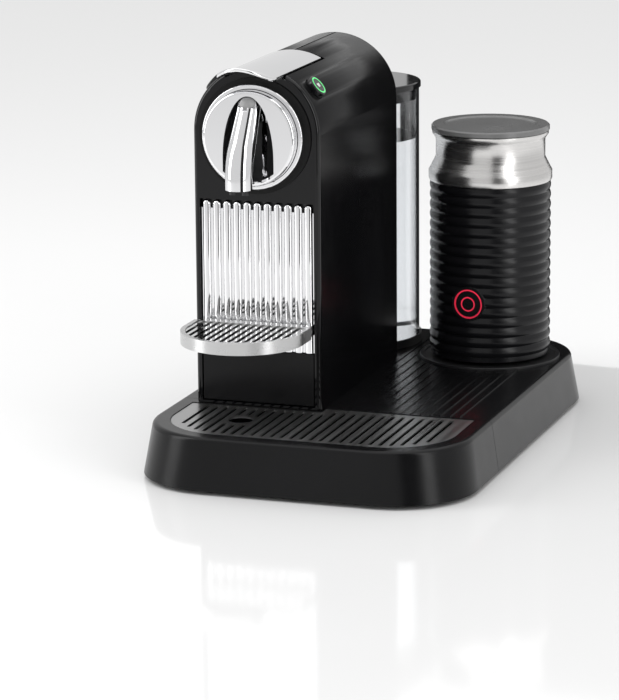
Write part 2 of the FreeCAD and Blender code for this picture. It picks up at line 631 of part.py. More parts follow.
# ---------------------------------------------------------------- brewing body
def build_body():
    ys = ("body_front + panel_wall + panel_gap", "body_back - panel_wall - panel_gap")
    tube = cut("shell_tube", arch("shell_out", "body_radius", ys),
               arch("shell_in", "body_radius - shell_wall", (f"{ys[0]} - 1", f"{ys[1]} + 1"),
                    low=f"{DECK} - 1"))
    # opening for the lever; its back wall is undercut along the plate's path
    open_half = "(lever_half + lever_groove)"
    reach = "sqrt((lever_back - pivot_place)^2 + (body_height + lever_proud - pivot_height)^2)"
    mouth = box("lever_mouth", (f"{MIDDLE} - {open_half}", f"{MIDDLE} + {open_half}"),
                (f"{ys[0]} - 5", "pivot_place"), ("pivot_height", "body_height + 20"))
    sweep = common("lever_sweep",
                   cylinder("lever_circle", f"{reach} + lever_groove",
                            (f"{MIDDLE} - {open_half}", f"{MIDDLE} + {open_half}"),
                            ("pivot_place", "pivot_height"), "X"),
                   box("lever_sweep_zone", (f"{MIDDLE} - {open_half}", f"{MIDDLE} + {open_half}"),
                       ("pivot_place - 1", "pivot_place + 60"), ("pivot_height", "body_height + 20")))
    over_tray = box("over_tray", ("-base_width", "base_width"), ("-base_depth", "split_place + slide_gap"),
                    ("0", f"{DECK} + slide_gap"))
    tools = [mouth, sweep, over_tray]
    for side, name in ((1, "right"), (-1, "left")):
        tools.append(leaned(doc_cylinder(f"button_hole_{name}", "button_radius + button_gap", "20"),
                            side, "body_radius - 10"))
    tube = cut("shell_open", tube, *tools)
    wide = ("-base_depth", "base_depth")
    node("outer_shell_left", common("shell_left", tube,
         box("left_half", ("-base_width", f"{MIDDLE} - shell_seam / 2"), wide, ("0", "base_depth"))))
    node("outer_shell_right", common("shell_right", tube,
         box("right_half", (f"{MIDDLE} + shell_seam / 2", "base_width"), wide, ("0", "base_depth"))))

    # front panel
    front = arch("front_form", "body_radius", ("body_front", "body_front + panel_wall"),
                 low=f"{DECK} + slide_gap")
    face = value("body_front")
    front = soften("front_rounded", front, value("panel_round"),
                   lambda edge: all_at("y", face)(edge) and edge.BoundBox.ZMax > value(DECK) + 1)
    head_hole = cylinder("head_hole", "disc_radius + ring_gap",
                         ("body_front - 1", "body_front + panel_wall + 1"), (MIDDLE, "head_height"), "Y")
    bay = box("bay_hole", (f"{MIDDLE} - bin_half - bin_gap", f"{MIDDLE} + bin_half + bin_gap"),
              ("body_front - 1", "body_front + panel_wall + 1"), (f"{DECK} + 2", "bin_top + bin_gap"))
    under_lever = cut("lever_notch",
                      box("lever_notch_zone", (f"{MIDDLE} - {open_half}", f"{MIDDLE} + {open_half}"),
                          ("body_front - 1", "body_front + panel_wall + 1"),
                          (AXIS_HEIGHT, "body_height + 5")),
                      cylinder("lever_notch_round", "body_radius + lever_proud - lever_wall - 1",
                               ("body_front - 2", "body_front + panel_wall + 2"),
                               (MIDDLE, AXIS_HEIGHT), "Y"))
    node("front_panel", cut("front_cut", front, head_hole, bay, under_lever))

    # rear panel
    rear = arch("rear_form", "body_radius", ("body_back - panel_wall", "body_back"))
    back = value("body_back")
    rear = soften("rear_rounded", rear, value("panel_round"),
                  lambda edge: all_at("y", back)(edge) and edge.BoundBox.ZMax > value(DECK) + 0.1)
    node("rear_panel", rear)


def doc_cylinder(name, radius, length):
    item = doc.addObject("Part::Cylinder", name)
    bind(item, "Radius", radius)
    bind(item, "Height", length)
    return item


def leaned(item, side, distance):
    """Lean an upright piece outward like a coffee button, starting at a distance from the arch's axis."""
    turn = Rotation(Vector(0, side, 0), value("button_lean"))
    item.Placement = FreeCAD.Placement(Vector(), turn)
    return put(item, f"{MIDDLE} + {side} * ({distance}) * sin(button_lean)", "button_place",
               f"{AXIS_HEIGHT} + ({distance}) * cos(button_lean)")


def build_buttons():
    switches = []
    for side, name in ((1, "espresso"), (-1, "lungo")):
        cap = leaned(doc_cylinder(f"{name}_cap", "button_radius", "button_proud + 6"), side,
                     "body_radius - 6")
        flange = leaned(doc_cylinder(f"{name}_flange", "button_radius + 0.9", "1.5"), side,
                        "body_radius - 8")
        cap = soften(f"{name}_cap_round", cap, 0.8, far_circle())
        ring_hole = leaned(doc_cylinder(f"{name}_ring_hole", "light_outer", "2"), side,
                           "body_radius + button_proud - 0.6")
        ring_core = leaned(doc_cylinder(f"{name}_ring_core", "light_inner", "2"), side,
                           "body_radius + button_proud - 0.6")
        groove = cut(f"{name}_groove", ring_hole, ring_core)
        skirt = leaned(doc_cylinder(f"{name}_bridge", "button_radius", "3"), side, "body_radius - 8")
        node(f"{name}_button", cut(f"{name}_button_cut", fuse(f"{name}_body", cap, flange, skirt), groove))
        glow = leaned(doc_cylinder(f"{name}_glow_out", "light_outer", "0.7"), side,
                      "body_radius + button_proud - 0.6")
        glow_core = leaned(doc_cylinder(f"{name}_glow_in", "light_inner", "3"), side,
                           "body_radius + button_proud - 1")
        node(f"{name}_light", cut(f"{name}_light_cut", glow, glow_core))
        low = "body_radius - 12.3 - button_stroke"
        arm = doc.addObject("Part::Box", f"{name}_bracket")
        for prop, text in (("Length", "body_radius"), ("Width", "8"), ("Height", "1.6")):
            bind(arm, prop, text)
        leaned(arm, side, low)
        shift = "0" if side > 0 else "body_radius"
        put(arm, f"{MIDDLE} + {side} * ({low}) * sin(button_lean) - ({shift}) * cos(button_lean)",
            "button_place + contact_back - contact_radius",
            f"{AXIS_HEIGHT} + ({low}) * cos(button_lean) - ({shift}) * sin(button_lean)")
        arm = common(f"{name}_bracket_fit", arm,
                     arch(f"{name}_bracket_zone", "body_radius - shell_wall", ("body_front", "body_back")))
        switch = leaned(doc_cylinder(f"{name}_switch", "contact_radius", "4"), side, low)
        bind(switch, ".Placement.Base.y", "button_place + contact_back")
        frame_zone = box(f"{name}_frame_zone", (f"{MIDDLE} - frame_half - 0.3", f"{MIDDLE} + frame_half + 0.3"),
                         ("body_front", "body_back"), (DECK, "body_height"))
        switches.append(cut(f"{name}_switch_cut", fuse(f"{name}_switch_body", switch, arm), frame_zone))
    node("button_switches", group("switches", *switches))


def far_circle():
    """Edge test: the outer circle of a leaned button."""
    across, height, limit = measure(MIDDLE, AXIS_HEIGHT, "body_radius + 2")

    def test(edge):
        middle = edge.CenterOfMass
        radial = math.hypot(middle.x - across, middle.z - height)
        return len(edge.Vertexes) == 1 and radial > limit
    return test


def build_lever():
    outer_r = "body_radius + lever_proud"
    inner_r = "body_radius + lever_proud - lever_wall"
    # curved plate over the crown
    plate = cut("lever_curve",
                cylinder("lever_out", outer_r, ("lever_front", "lever_back"), (MIDDLE, AXIS_HEIGHT), "Y"),
                cylinder("lever_in", inner_r, ("lever_front - 1", "lever_back + 1"),
                         (MIDDLE, AXIS_HEIGHT), "Y"))
    crown = box("lever_crown", (f"{MIDDLE} - lever_half", f"{MIDDLE} + lever_half"),
                ("lever_front - 60", "lever_back + 5"), (f"{AXIS_HEIGHT} + 20", "body_height + 60"))
    plate = common("lever_plate_run", plate, crown)
    # tongue: the same section turned upward about a line above it
    section = doc.addObject("PartDesign::Body", "lever_tongue")
    sketch = section.newObject("Sketcher::SketchObject", "lever_tongue_outline")
    origin = next(item for item in section.Origin.OriginFeatures if item.Role == "XZ_Plane")
    sketch.AttachmentSupport = [(origin, "")]
    sketch.MapMode = "FlatFace"
    big, small, half = measure(outer_r, inner_r, "lever_half")
    turn = math.asin(half / big)
    low_turn = math.asin(half / small)
    up = math.pi / 2
    sketch.addGeometry(Part.ArcOfCircle(Part.Circle(Vector(0, 0, 0), Vector(0, 0, 1), big),
                                        up - turn, up + turn))
    sketch.addGeometry(Part.ArcOfCircle(Part.Circle(Vector(0, 0, 0), Vector(0, 0, 1), small),
                                        up - low_turn, up + low_turn))
    right_out = Vector(half, big * math.cos(turn), 0)
    right_in = Vector(half, small * math.cos(low_turn), 0)
    left_out = Vector(-half, right_out.y, 0)
    left_in = Vector(-half, right_in.y, 0)
    sketch.addGeometry(Part.LineSegment(right_out, right_in))
    sketch.addGeometry(Part.LineSegment(left_out, left_in))
    Constraint = Sketcher.Constraint
    for first, last in (((0, 1), (2, 1)), ((1, 1), (2, 2)), ((0, 2), (3, 1)), ((1, 2), (3, 2))):
        sketch.addConstraint(Constraint("Coincident", first[0], first[1], last[0], last[1]))
    sketch.addConstraint(Constraint("Coincident", 0, 3, -1, 1))
    sketch.addConstraint(Constraint("Coincident", 1, 3, -1, 1))
    for line in (2, 3):
        sketch.addConstraint(Constraint("Vertical", line))
    for text, index in ((outer_r, sketch.addConstraint(Constraint("Radius", 0, big))),
                        (inner_r, sketch.addConstraint(Constraint("Radius", 1, small))),
                        ("lever_half", sketch.addConstraint(Constraint("DistanceX", -1, 1, 2, 1, half))),
                        ("-lever_half", sketch.addConstraint(Constraint("DistanceX", -1, 1, 3, 1, -half)))):
        bind(sketch, f"Constraints[{index}]", text)
    above = sketch.addGeometry(Part.LineSegment(Vector(-10, big + 62, 0), Vector(10, big + 62, 0)), True)
    sketch.addConstraint(Constraint("Horizontal", above))
    rise = sketch.addConstraint(Constraint("DistanceY", -1, 1, above, 1, big + 62))
    bind(sketch, f"Constraints[{rise}]", f"{outer_r} + tongue_curl")
    turn_up = section.newObject("PartDesign::Revolution", "lever_tongue_turn")
    turn_up.Profile = sketch
    turn_up.ReferenceAxis = (sketch, ["Axis0"])
    turn_up.Angle = 40
    section.Tip = turn_up
    put(section, MIDDLE, "lever_front", AXIS_HEIGHT)
    doc.recompute()
    if turn_up.Shape.BoundBox.YMax > 1:
        turn_up.Reversed = True
        doc.recompute()
    # rounded plan of the whole plate
    plan = fuse("lever_plan",
                cylinder("lever_nose", "lever_half", (f"{AXIS_HEIGHT}", "body_height + 60"),
                         (MIDDLE, "lever_front")),
                box("lever_tail", (f"{MIDDLE} - lever_half", f"{MIDDLE} + lever_half"),
                    ("lever_front", "lever_back"), (AXIS_HEIGHT, "body_height + 60")))
    whole = common("lever_whole", fuse("lever_join", plate, section), plan)
    node("lever_plate", whole)

    # arms under the plate, turning on the lever pin
    arms = []
    for side in (-1, 1):
        middle = f"{MIDDLE} + {side} * arm_place"
        xs = (f"{middle} - arm_wall / 2", f"{middle} + arm_wall / 2")
        name = "right" if side > 0 else "left"
        arms.append(box(f"arm_{name}", xs, ("pivot_place - 4", "pivot_place + 6"),
                        ("pivot_height", "body_height")))
        arms.append(cylinder(f"arm_eye_{name}", "pin_radius + 3.5", xs, ("pivot_place", "pivot_height"), "X"))
        arms.append(box(f"arm_rail_{name}", xs, ("body_front + 14", "pivot_place + 6"),
                        (f"{AXIS_HEIGHT} + body_radius - 9", "body_height")))
    arms.append(box("arm_tie", (f"{MIDDLE} - arm_place", f"{MIDDLE} + arm_place"),
                    ("pivot_place - 12", "pivot_place - 8"),
                    (f"{AXIS_HEIGHT} + body_radius - 9", "body_height")))
    under = common("arms_under", fuse("arm_set", *arms),
                   cylinder("arm_roof", inner_r, ("body_front", "lever_back + 5"),
                            (MIDDLE, AXIS_HEIGHT), "Y"))
    bore = cylinder("arm_bore", "pin_radius + pin_fit",
                    (f"{MIDDLE} - arm_place - 10", f"{MIDDLE} + arm_place + 10"),
                    ("pivot_place", "pivot_height"), "X")
    node("lever_arms", cut("arms_bored", under, bore))
    node("lever_pin", cylinder("lever_pin_rod", "pin_radius",
                               (f"{MIDDLE} - frame_half", f"{MIDDLE} + frame_half"),
                               ("pivot_place", "pivot_height"), "X"))


def build_frame():
    """Inner frame, capsule guide and the brewing unit's moving cage."""
    inside = "(frame_half - frame_wall)"
    sides = []
    for side in (-1, 1):
        near = f"{MIDDLE} + {side} * ({inside})"
        far = f"{MIDDLE} + {side} * frame_half"
        xs = (near, far) if side > 0 else (far, near)
        sides.append(box(f"frame_side_{side}".replace("-", "n"), xs,
                         ("core_back + 0.4", "frame_back"), ("frame_low", "frame_top")))
    back = box("frame_cross", (f"{MIDDLE} - frame_half", f"{MIDDLE} + frame_half"),
               ("frame_back - frame_wall", "frame_back"), (DECK, "frame_top"))
    shelf = box("frame_shelf", (f"{MIDDLE} - frame_half", f"{MIDDLE} + frame_half"),
                ("frame_back - 1", "body_back - panel_wall"), ("pump_shelf - frame_wall", "pump_shelf"))
    foot = box("frame_foot", (f"{MIDDLE} - frame_half", f"{MIDDLE} + frame_half"),
               ("frame_back - 1", "frame_back + 25"), (DECK, f"{DECK} + frame_wall"))
    pin_hole = cylinder("frame_pin_hole", "pin_radius", (f"{MIDDLE} - 40", f"{MIDDLE} + 40"),
                        ("pivot_place", "pivot_height"), "X")
    tube_way = cylinder("frame_tube_hole", "6", ("frame_back - 10", "frame_back + 10"),
                        (MIDDLE, "head_height"), "Y")
    foot_way = cylinder("foot_tube_hole", "6.5", (f"{DECK} - 1", f"{DECK} + 5"), (MIDDLE, "tube_place"))
    shelf_way = cylinder("shelf_tube_hole", "tube_radius + 0.5", ("pump_shelf - 10", "pump_shelf + 5"),
                         (MIDDLE, "tube_place"))
    # way of the lever plate's back edge, which swings down behind the pin
    reach = "sqrt((lever_back - pivot_place)^2 + (body_height + lever_proud - pivot_height)^2)"
    wide = (f"{MIDDLE} - frame_half - 1", f"{MIDDLE} + frame_half + 1")
    swing = common("frame_swing",
                   cut("frame_swing_ring",
                       cylinder("frame_swing_out", f"{reach} + 0.6", wide, ("pivot_place", "pivot_height"), "X"),
                       cylinder("frame_swing_in", "pin_radius + 5", wide, ("pivot_place", "pivot_height"), "X")),
                   box("frame_swing_zone", wide, ("pivot_place", "body_back"), (DECK, "body_height")))
    node("internal_frame", cut("frame_bored", fuse("frame_body", *sides, back, shelf, foot),
                               pin_hole, tube_way, foot_way, shelf_way, swing))

    # guide that leads a capsule down between the head and the cage
    guide = box("guide_plate", (f"{MIDDLE} - {inside}", f"{MIDDLE} + {inside}"),
                ("core_back + 0.4", "pivot_place - 9"), ("guide_top - frame_wall", "guide_top"))
    slot = box("guide_slot", (f"{MIDDLE} - 18.5", f"{MIDDLE} + 18.5"),
               ("core_back + 3", "cage_front + cage_travel - 2"), ("guide_top - 10", "guide_top + 5"))
    node("capsule_guide", cut("guide_cut", guide, slot))

    # black brewing head behind the chrome disc, with the neck that carries the spout
    core = cylinder("core_block", "disc_radius - disc_rim - 0.3", ("core_front", "core_back"),
                    (MIDDLE, "head_height"), "Y")
    flange = cylinder("core_flange", "disc_radius + 3", ("body_front + panel_wall + 0.01", "core_back"),
                      (MIDDLE, "head_height"), "Y")
    flange = cut("core_ring", flange,
                 cylinder("core_ring_hole", "disc_radius + 0.02", ("body_front", "core_front + 0.01"),
                          (MIDDLE, "head_height"), "Y"))
    neck = cylinder("core_neck", "neck_radius", ("spout_reach + 17", "core_front + 1"),
                    (MIDDLE, "neck_height"), "Y")
    dish = cylinder("core_dish", "17", ("core_back - 1.5", "core_back + 1"), (MIDDLE, "head_height"), "Y")
    node("brew_head", cut("core_cut", fuse("core_body", core, flange, neck), dish))


def build_brewing():
    cage = cut("cage_form",
               cone("cage_out", ("18.5", "14"), ("cage_front", "cage_front + 28"),
                    (MIDDLE, "head_height"), "Y"),
               cone("cage_in", ("16.5", "12"), ("cage_front - 0.01", "cage_front + 24"),
                    (MIDDLE, "head_height"), "Y"))
    ears = box("cage_ears", (f"{MIDDLE} - frame_half + frame_wall + 0.4",
                             f"{MIDDLE} + frame_half - frame_wall - 0.4"),
               ("cage_front + 4", "cage_front + 12"), ("head_height - 5", "head_height + 5"))
    hollow = cone("cage_ear_room", ("17", "13"), ("cage_front", "cage_front + 24"),
                  (MIDDLE, "head_height"), "Y")
    node("capsule_cage", fuse("cage_body", cage, cut("cage_ears_cut", ears, hollow)))
    blades = []
    for index in range(3):
        angle = f"{90 + 120 * index}"
        blades.append(cone(f"blade_{index}", ("0.4", "1.4"), ("cage_front + 18", "cage_front + 24"),
                           (f"{MIDDLE} + 6 * cos({angle})", f"head_height + 6 * sin({angle})"), "Y"))
    node("piercing_blades", group("blades", *blades))

    # head: bezel, ring, disc
    at = (MIDDLE, "head_height")
    bezel = cut("bezel_cut",
                cylinder("bezel_out", "bezel_radius", ("body_front - bezel_proud", "body_front"), at, "Y"),
                cylinder("bezel_in", "ring_radius", ("body_front - 10", "body_front + 1"), at, "Y"))
    node("head_bezel", bezel)
    ring = cut("ring_cut",
               cylinder("ring_out", "ring_radius", ("body_front - ring_proud", "body_front"), at, "Y"),
               cylinder("ring_in", "disc_radius + ring_gap", ("body_front - 20", "body_front + 1"), at, "Y"))
    front = value("body_front - ring_proud")
    node("head_ring", soften("ring_round", ring, 1.0,
                             lambda edge: all_at("y", front)(edge) and
                             edge.Curve.Radius > value("disc_radius + ring_gap") + 1))
    face = value("body_front - disc_proud")
    disc = cylinder("disc_out", "disc_radius", ("body_front - disc_proud", "core_front"), at, "Y")
    disc = soften("disc_round", disc, 2.2, all_at("y", face))
    room = cylinder("disc_room", "disc_radius - disc_rim",
                    ("body_front - disc_proud + disc_wall", "core_front + 1"), at, "Y")
    disc = cut("disc_cut", disc, room, recess())
    node("head_disc", disc)

    # coffee spout
    bend = torus("spout_curve", "spout_bend", "spout_radius",
                 (MIDDLE, "spout_reach + spout_bend", "spout_knee"))
    bend.Placement.Rotation = Rotation(Vector(0, -1, 0), Vector(0, 0, 1), Vector(-1, 0, 0), "XYZ")
    bind(bend, "Angle3", "spout_lean")
    outlet = cylinder("spout_outlet", "spout_radius", ("spout_low", "spout_knee"), (MIDDLE, "spout_reach"))
    upper = doc.addObject("Part::Cone", "spout_upper")
    bind(upper, "Radius1", "spout_radius")
    bind(upper, "Radius2", "spout_neck")
    bind(upper, "Height", "spout_run")
    upper.Placement = FreeCAD.Placement(Vector(), Rotation(Vector(1, 0, 0), -value("spout_lean")))
    knee_y = "spout_reach + spout_bend * (1 - cos(spout_lean))"
    knee_z = "spout_knee + spout_bend * sin(spout_lean)"
    put(upper, MIDDLE, knee_y, knee_z)
    top_y = f"{knee_y} + spout_run * sin(spout_lean)"
    top_z = f"{knee_z} + spout_run * cos(spout_lean)"
    dome = sphere("spout_dome", "spout_neck", (MIDDLE, top_y, top_z))
    spout = fuse("spout_solid", outlet, bend, upper, dome)
    bore = cylinder("spout_bore", "spout_radius - 1.6", ("spout_low - 1", "spout_low + 10"),
                    (MIDDLE, "spout_reach"))
    socket = cylinder("spout_socket", "neck_radius", ("spout_reach + 17", "core_front"),
                      (MIDDLE, "neck_height"), "Y")
    ball_at = (MIDDLE, f"{top_y} - plug_offset * cos(plug_lean)",
               f"{top_z} + plug_offset * sin(plug_lean)")
    seat = sphere("plug_seat", "plug_radius + 0.3", ball_at)
    node("coffee_spout", cut("spout_cut", spout, bore, socket, seat))
    node("spout_plug", sphere("plug_ball", "plug_radius", ball_at))
    nozzles = []
    for side in (-1, 1):
        tube = cylinder(f"nozzle_{side}".replace("-", "n"), "nozzle_radius",
                        ("spout_low - nozzle_drop", "spout_low + 10"),
                        (f"{MIDDLE} + {side} * nozzle_spread", "spout_reach"))
        hole = cylinder(f"nozzle_hole_{side}".replace("-", "n"), "nozzle_radius - 0.9",
                        ("spout_low - nozzle_drop - 1", "spout_low + 9"),
                        (f"{MIDDLE} + {side} * nozzle_spread", "spout_reach"))
        nozzles.append(cut(f"nozzle_tube_{side}".replace("-", "n"), tube, hole))
    node("spout_nozzles", group("nozzles", *nozzles))

    # chrome arch standing on the brewing head behind the spout
    ys = ("arch_front", "core_front")
    crown = "arch_high - arch_half - arch_wall / 2"

    def arched(name, half):
        legs = box(name + "_legs", (f"{MIDDLE} - {half}", f"{MIDDLE} + {half}"), ys, ("arch_low", crown))
        return fuse(name, legs, cylinder(name + "_bow", half, ys, (MIDDLE, crown), "Y"))
    node("spout_arch", cut("arch_cut", arched("arch_out", "(arch_half + arch_wall / 2)"),
                           arched("arch_in", "(arch_half - arch_wall / 2)")))


def recess():
    """Arched recess of the disc: a half ellipse on straight sides, kept off the disc's edge."""
    ys = ("body_front - disc_proud - 1", "body_front - disc_proud + disc_wall + 1")
    curve = doc.addObject("Part::Ellipse", "recess_curve")
    bind(curve, "MajorRadius", "recess_rise")
    bind(curve, "MinorRadius", "recess_half")
    curve.Placement.Rotation = Rotation(Vector(0, 0, 1), Vector(1, 0, 0), Vector(0, 1, 0), "XYZ")
    put(curve, MIDDLE, ys[0], "recess_bend")
    tip = doc.addObject("Part::Extrusion", "recess_tip")
    tip.Base = curve
    tip.DirMode = "Custom"
    tip.Dir = Vector(0, 1, 0)
    tip.Solid = True
    bind(tip, "LengthFwd", f"({ys[1]}) - ({ys[0]})")
    upper = common("recess_upper", tip,
                   box("recess_upper_zone", (f"{MIDDLE} - 60", f"{MIDDLE} + 60"), ys,
                       ("recess_bend", "body_height")))
    lower = box("recess_lower", (f"{MIDDLE} - recess_half", f"{MIDDLE} + recess_half"), ys,
                ("head_height - disc_radius", "recess_bend"))
    return common("recess_form", fuse("recess_all", upper, lower),
                  cylinder("recess_limit", "disc_radius - recess_land", ys, (MIDDLE, "head_height"), "Y"))


# ---------------------------------------------------------------- capsule container and cup shelf
def build_container():
    left, right = f"{MIDDLE} - bin_half", f"{MIDDLE} + bin_half"
    low = f"{DECK} + bin_low"
    wall_front = "body_front + 4.2"
    front = box("bin_front", (left, right), (wall_front, f"{wall_front} + bin_wall"), (low, "bin_top"))
    tub = cut("bin_tub",
              box("bin_block", (left, right), (wall_front, "bin_back"), (low, "bin_height")),
              box("bin_room", (f"{left} + bin_wall", f"{right} - bin_wall"),
                  (f"{wall_front} + bin_wall", "bin_back - bin_wall"),
                  (f"{low} + bin_wall", "bin_height + 5")))
    node("capsule_container", fuse("bin_body", front, tub))
    node("container_front", soften("bin_face_round",
         box("bin_face", (left, right), ("body_front + 0.4", wall_front), (low, "flute_low - 0.3")), 0.8,
         lambda edge: all_at("y", value("body_front + 0.4"))(edge)))

    # fluted panel
    plate = box("flute_back", (left, right), (f"{wall_front} - flute_plate", wall_front),
                ("flute_low", "bin_top - flute_rise"))
    flutes = []
    for index in range(int(value("flute_count"))):
        at = (f"{MIDDLE} + ({index} - (flute_count - 1) / 2) * flute_pitch", f"{wall_front} - 1.4")
        flutes.append(cylinder(f"flute_{index}", "flute_radius", ("flute_low", "bin_top - flute_radius"), at))
        flutes.append(sphere(f"flute_tip_{index}", "flute_radius", (*at, "bin_top - flute_radius")))
    panel = cut("flute_panel", fuse("flutes", plate, *flutes),
                box("flute_behind", (f"{left} - 5", f"{right} + 5"), (wall_front, f"{wall_front} + 10"),
                    ("flute_low - 5", "bin_top + 5")))
    pivot = ("body_front - hinge_place", "shelf_height - shelf_depth / 2")
    lugs = []
    for side in (-1, 1):
        inner, outer = (f"{MIDDLE} + {side} * (bin_half - lug_wall)", f"{MIDDLE} + {side} * bin_half")
        xs = (inner, outer) if side > 0 else (outer, inner)
        tag = "right" if side > 0 else "left"
        lugs.append(box(f"lug_{tag}", xs, (pivot[0], f"{wall_front} - 1"),
                        (f"{pivot[1]} - 3.8", f"{pivot[1]} + 3.8")))
        lugs.append(cylinder(f"lug_eye_{tag}", "3.8", xs, pivot, "X"))
    bore = cylinder("lug_bore", "hinge_radius + pin_fit", (f"{left} - 5", f"{right} + 5"), pivot, "X")
    node("fluted_panel", cut("flute_bored", fuse("flute_lugs", panel, *lugs), bore))

    # cup shelf: band, floor and bars, turning on its pin
    def outline(name, inset, zs, back):
        middle = "body_front - shelf_straight"
        xs = (f"{MIDDLE} - shelf_half + {inset}", f"{MIDDLE} + shelf_half - {inset}")
        whole = fuse(name + "_whole",
                     cylinder(name + "_end", f"shelf_half - {inset}", zs, (MIDDLE, middle)),
                     box(name + "_run", xs, (middle, back), zs))
        return common(name, whole, box(name + "_zone", xs, ("-base_depth", back), zs))
    back = f"{pivot[0]} - 4.4"
    zs = ("shelf_height - shelf_depth", "shelf_height")
    band = cut("band_cut", outline("band_out", "0", zs, back),
               outline("band_in", "shelf_band", (f"{zs[0]} - 1", f"{zs[1]} + 1"), f"{back} - 3"))
    knuckle = cylinder("shelf_knuckle", "shelf_depth / 2",
                       (f"{MIDDLE} - bin_half + lug_wall + 0.4", f"{MIDDLE} + bin_half - lug_wall - 0.4"),
                       pivot, "X")
    web = box("shelf_web", (f"{MIDDLE} - bin_half + lug_wall + 0.4", f"{MIDDLE} + bin_half - lug_wall - 0.4"),
              (f"{back} - 2", pivot[0]), zs)
    pin_way = cylinder("shelf_pin_way", "hinge_radius", (f"{left} - 9", f"{right} + 9"), pivot, "X")
    node("shelf_rim", cut("shelf_bored", fuse("shelf_body", band, knuckle, web), pin_way))
    node("shelf_pin", cylinder("shelf_pin_rod", "hinge_radius", (f"{left} + 0.3", f"{right} - 0.3"),
                               pivot, "X"))
    room = outline("bar_room", "shelf_band", (zs[0], f"{zs[1]} - shelf_sink"), f"{back} - 3")
    bars = [box("floor_plate", (left, right), ("-base_depth", "0"),
                (f"{zs[0]} + 1", f"{zs[0]} + 1 + shelf_floor"))]
    for index in range(int(value("bar_count"))):
        middle = f"{MIDDLE} + ({index} - (bar_count - 1) / 2) * bar_pitch"
        bars.append(box(f"bar_{index}", (f"{middle} - bar_width / 2", f"{middle} + bar_width / 2"),
                        ("-base_depth", "0"), (f"{zs[0]} + 1 + shelf_floor", zs[1])))
    tie = box("bar_tie", (left, right), (f"{back} - 12", f"{back} - 9"),
              (f"{zs[0]} + 1 + shelf_floor", f"{zs[1]} - shelf_sink - 2"))
    node("shelf_grille", common("bars_cut", room, fuse("bar_set", tie, *bars)))


# ---------------------------------------------------------------- works inside
def pipe(name, corners, radius="tube_radius"):
    """Tube through corners that differ in one coordinate at a time."""
    pieces = []
    for index in range(len(corners) - 1):
        first, last = corners[index], corners[index + 1]
        axis = next(i for i in range(3) if first[i] != last[i])
        low, high = (first, last) if value(first[axis]) < value(last[axis]) else (last, first)
        across = tuple(first[i] for i in range(3) if i != axis)
        pieces.append(cylinder(f"{name}_run_{index}", radius, (low[axis], high[axis]), across, "XYZ"[axis]))
        if index:
            pieces.append(sphere(f"{name}_bend_{index}", radius, first))
    return fuse(name, *pieces) if len(pieces) > 1 else pieces[0]


def build_works():
    pump = fuse("pump_form",
                cylinder("pump_coil", "pump_radius", ("frame_back + 8", "body_back - panel_wall - 8"),
                         (MIDDLE, "pump_shelf + pump_radius"), "Y"),
                cylinder("pump_nose", "8", ("frame_back + 2", "frame_back + 9"),
                         (MIDDLE, "pump_shelf + pump_radius"), "Y"))
    node("pump", pump)
    node("thermoblock", soften("thermo_round",
         box("thermo_block", (f"{MIDDLE} - 20", f"{MIDDLE} + 20"), ("frame_back", "frame_back + 36"),
             ("heater_low", "heater_high")), 3, upright))
    pump_top = "pump_shelf + 2 * pump_radius"
    tubes = [
        pipe("inlet_tube", [(MIDDLE, "tank_place", f"{DECK}"), (MIDDLE, "tank_place", "20"),
                            (MIDDLE, "tube_place", "20"), (MIDDLE, "tube_place", "pump_shelf")]),
        pipe("rise_tube", [(MIDDLE, "tube_place + 12", pump_top), (MIDDLE, "tube_place + 12", "heater_low")]),
        pipe("head_tube", [(MIDDLE, "tube_place", "heater_high"), (MIDDLE, "tube_place", "head_height"),
                           (MIDDLE, "cage_front + 28 + cage_travel + 6", "head_height")]),
    ]
    node("water_tubes", group("tubes", *tubes))
    node("control_board", box("board", (f"{MIDDLE} + pump_radius + 3", f"{MIDDLE} + pump_radius + 4.6"),
                              ("frame_back + 20", "body_back - panel_wall - 4"),
                              ("pump_shelf", "pump_shelf + 80")))


